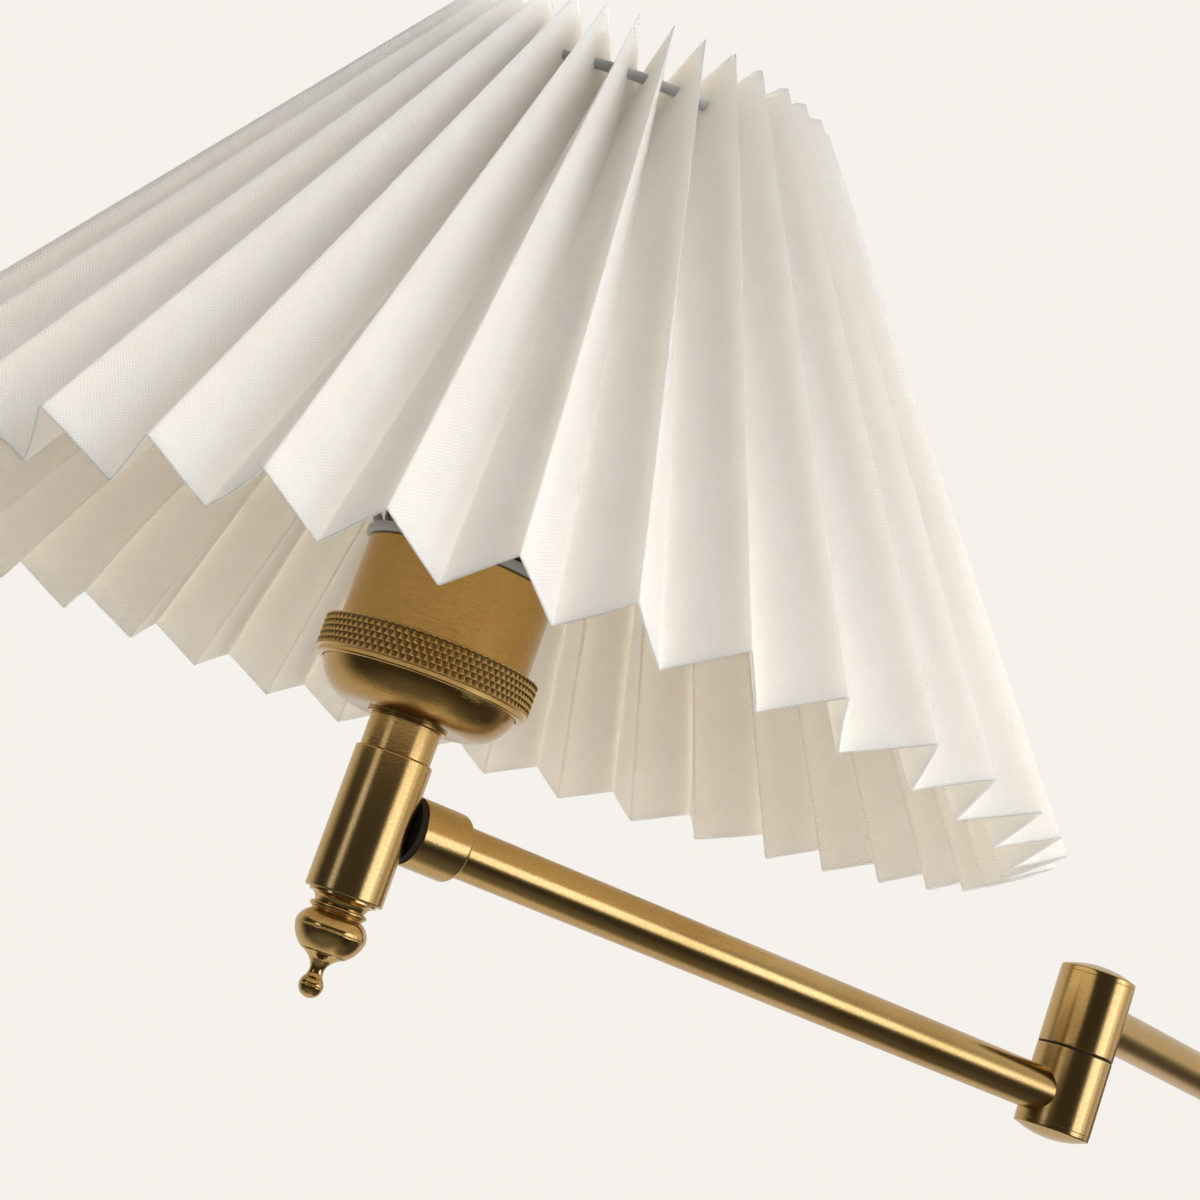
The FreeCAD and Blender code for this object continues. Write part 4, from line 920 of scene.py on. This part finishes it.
def patch(tree, way, toward, inner, outer):
    """1 within `inner` degrees of a direction, 0 beyond `outer` degrees, smooth between."""
    facing = add(tree, "ShaderNodeVectorMath", {1: tuple(unit(np.array(toward)))},
                 operation="DOT_PRODUCT")
    tree.links.new(way, facing.inputs[0])
    made = add(tree, "ShaderNodeMapRange", {"From Min": np.cos(np.radians(outer)),
                                            "From Max": np.cos(np.radians(inner))},
               interpolation_type="SMOOTHSTEP")
    tree.links.new(facing.outputs["Value"], made.inputs["Value"])
    return made.outputs["Result"]


def studio():
    """A pale backdrop, which metal and glass show too. Metal also shows what stands round the
    lamp: a dark room behind the camera, dark below on the right, a little light from straight
    below, and cool cards on the right and straight out from the wall. The backdrop lights it
    mostly from behind and from the left, and two lamps light it from the right and from above."""
    world = bpy.data.worlds.new("studio")
    bpy.context.scene.world = world
    world.use_nodes = True
    tree = world.node_tree
    tree.nodes.clear()
    path = add(tree, "ShaderNodeLightPath")
    way = add(tree, "ShaderNodeTexCoord").outputs["Generated"]
    room = spread(tree, patch(tree, way, *PALE_SIDE), 0.06, 0.80, 0.0, 1.0)
    corner = spread(tree, patch(tree, way, *DARK_CORNER), 1.0, 0.10, 0.0, 1.0)
    shown = summed(tree, multiplied(tree, room, corner), patch(tree, way, *BELOW), 0.16)
    strength = spread(tree, patch(tree, way, (0, 1, 0), 0, LOBE), 0.06, 1.36, 0.0, 1.0)
    for toward, level in (((-1, 0, 0), 0.45), ((0, -1, 0), 0.12), ((0, 0, -1), 0.15)):
        strength = summed(tree, strength, patch(tree, way, toward, 0, LOBE), level)
    for ray, level in (("Is Glossy Ray", shown), ("Is Camera Ray", 1.0),
                       ("Is Transmission Ray", 1.0)):
        strength = switched(tree, path.outputs[ray], strength, level)
    backdrop = add(tree, "ShaderNodeBackground", {"Color": (*BACKDROP, 1.0)})
    tree.links.new(strength, backdrop.inputs["Strength"])

    cards = patch(tree, way, *RIGHT_CARD)
    for card, level in ((FAR_CARD, 0.35), (FRONT_CARD, 0.55)):
        cards = summed(tree, cards, patch(tree, way, *card), level)
    card_light = add(tree, "ShaderNodeBackground", {"Color": CARD_LIGHT})
    tree.links.new(multiplied(tree, cards, path.outputs["Is Glossy Ray"]),
                   card_light.inputs["Strength"])
    both = add(tree, "ShaderNodeAddShader")
    tree.links.new(backdrop.outputs[0], both.inputs[0])
    tree.links.new(card_light.outputs[0], both.inputs[1])
    output = add(tree, "ShaderNodeOutputWorld")
    tree.links.new(both.outputs[0], output.inputs["Surface"])

    target = Vector(POST_AXIS * MM) + Vector((0, 0, SHADE_MIDDLE))
    for name, toward, distance, wide, high, power in LAMPS:
        lamp = bpy.data.lights.new(name, "AREA")
        lamp.shape, lamp.size, lamp.size_y, lamp.energy = "RECTANGLE", wide, high, power
        box = bpy.data.objects.new(name, lamp)
        bpy.context.scene.collection.objects.link(box)
        box.visible_camera = False
        box.visible_glossy = False
        box.location = target + Vector(toward).normalized() * distance
        box.rotation_euler = (target - box.location).to_track_quat("-Z", "Y").to_euler()
    floor()


def floor():
    """Pale paper under the lamp. It fades out into the backdrop away from it: all paper within
    FLOOR_NEAR of its middle, none beyond FLOOR_FAR."""
    side = np.array([[-1, -1], [1, -1], [1, 1], [-1, 1]]) * FLOOR_FAR
    mesh = bpy.data.meshes.new("floor")
    mesh.from_pydata(np.column_stack([side, np.full(4, FLOOR_LEVEL)]).tolist(), [], [(0, 1, 2, 3)])
    made = bpy.data.objects.new("floor", mesh)
    bpy.context.scene.collection.objects.link(made)
    material, tree, shader = new_material("floor_paper", Roughness=0.9)
    patches = noise(tree, object_point(tree), 3.0)
    tree.links.new(blended(tree, patches, (0.80, 0.77, 0.735), (0.78, 0.75, 0.715)),
                   shader.inputs["Base Color"])
    shader.inputs["Emission Color"].default_value = (*BACKDROP, 1.0)
    path = add(tree, "ShaderNodeLightPath")
    glow = switched(tree, path.outputs["Is Camera Ray"], 0.0, FLOOR_GLOW)
    tree.links.new(switched(tree, path.outputs["Is Transmission Ray"], glow, FLOOR_GLOW),
                   shader.inputs["Emission Strength"])
    distance = add(tree, "ShaderNodeVectorMath", operation="LENGTH")
    tree.links.new(object_point(tree, (1, 1, 0)), distance.inputs[0])
    far = spread(tree, distance.outputs["Value"], 0.0, 1.0, FLOOR_NEAR, FLOOR_FAR)
    clear = add(tree, "ShaderNodeBsdfTransparent")
    faded = add(tree, "ShaderNodeMixShader")
    tree.links.new(far, faded.inputs[0])
    tree.links.new(shader.outputs[0], faded.inputs[1])
    tree.links.new(clear.outputs[0], faded.inputs[2])
    tree.links.new(faded.outputs[0], tree.nodes["Material Output"].inputs["Surface"])
    mesh.materials.append(material)
    made.visible_glossy = False


BACKDROP = (0.913, 0.880, 0.838)
CARD_LIGHT = (1.9, 2.05, 2.6, 1.0)
LOBE = 100                                              # outer angle of the soft light
PALE_SIDE = (-0.413, 0.911, 0.0), 70, 110               # way, inner angle, outer angle
DARK_CORNER = (0.58, 0.61, -0.535), 24, 42
BELOW = (0.1, -0.1, -1.0), 20, 60
RIGHT_CARD = (0.93, 0.24, 0.10), 11, 19
FAR_CARD = (0.80, 0.58, 0.16), 7, 15
FRONT_CARD = (-0.05, -0.98, 0.16), 5, 12
LAMPS = (("right_box", (0.93, -0.12, 0.24), 1.3, 0.9, 1.1, 6.0),    # way, distance, sides, power
         ("top_box", (0.45, 0.10, 1.00), 1.5, 1.1, 1.1, 12.0))
FLOOR_LEVEL, FLOOR_NEAR, FLOOR_FAR, FLOOR_GLOW = -1.0, 0.5, 2.0, 0.3
SHADE_MIDDLE = 0.07                                     # metres above the front arm
LOOK = np.array([-0.64637, 0.74172, 0.17905])
RIGHT = np.array([0.74992, 0.57421, 0.32849])
EYE = np.array([0.31860, -0.83757, -0.04134])
FOCAL_LENGTH, SENSOR = 80.745, 36.0                     # millimetres


def camera():
    """The photograph's view: from below and to the left of the lamp's head, and rolled."""
    data = bpy.data.cameras.new("camera")
    data.lens, data.sensor_width = FOCAL_LENGTH, SENSOR
    data.clip_start, data.clip_end = 0.01, 60.0
    made = bpy.data.objects.new("camera", data)
    bpy.context.scene.collection.objects.link(made)
    right = unit(RIGHT - np.dot(RIGHT, LOOK) * LOOK / np.dot(LOOK, LOOK))
    back = -unit(LOOK)
    up = np.cross(back, right)
    made.matrix_world = Matrix([[right[i], up[i], back[i], EYE[i]] for i in range(3)]
                               + [[0, 0, 0, 1]])
    bpy.context.scene.camera = made


bpy.context.scene.view_settings.view_transform = "Standard"
finish_nodes()
wall_plate()
wall_screws()
arms_and_knuckles()
swivel()
post()
finial()
holder()
clamp_ring()
bulb()
wire_frame()
pleated_shade()
studio()
camera()
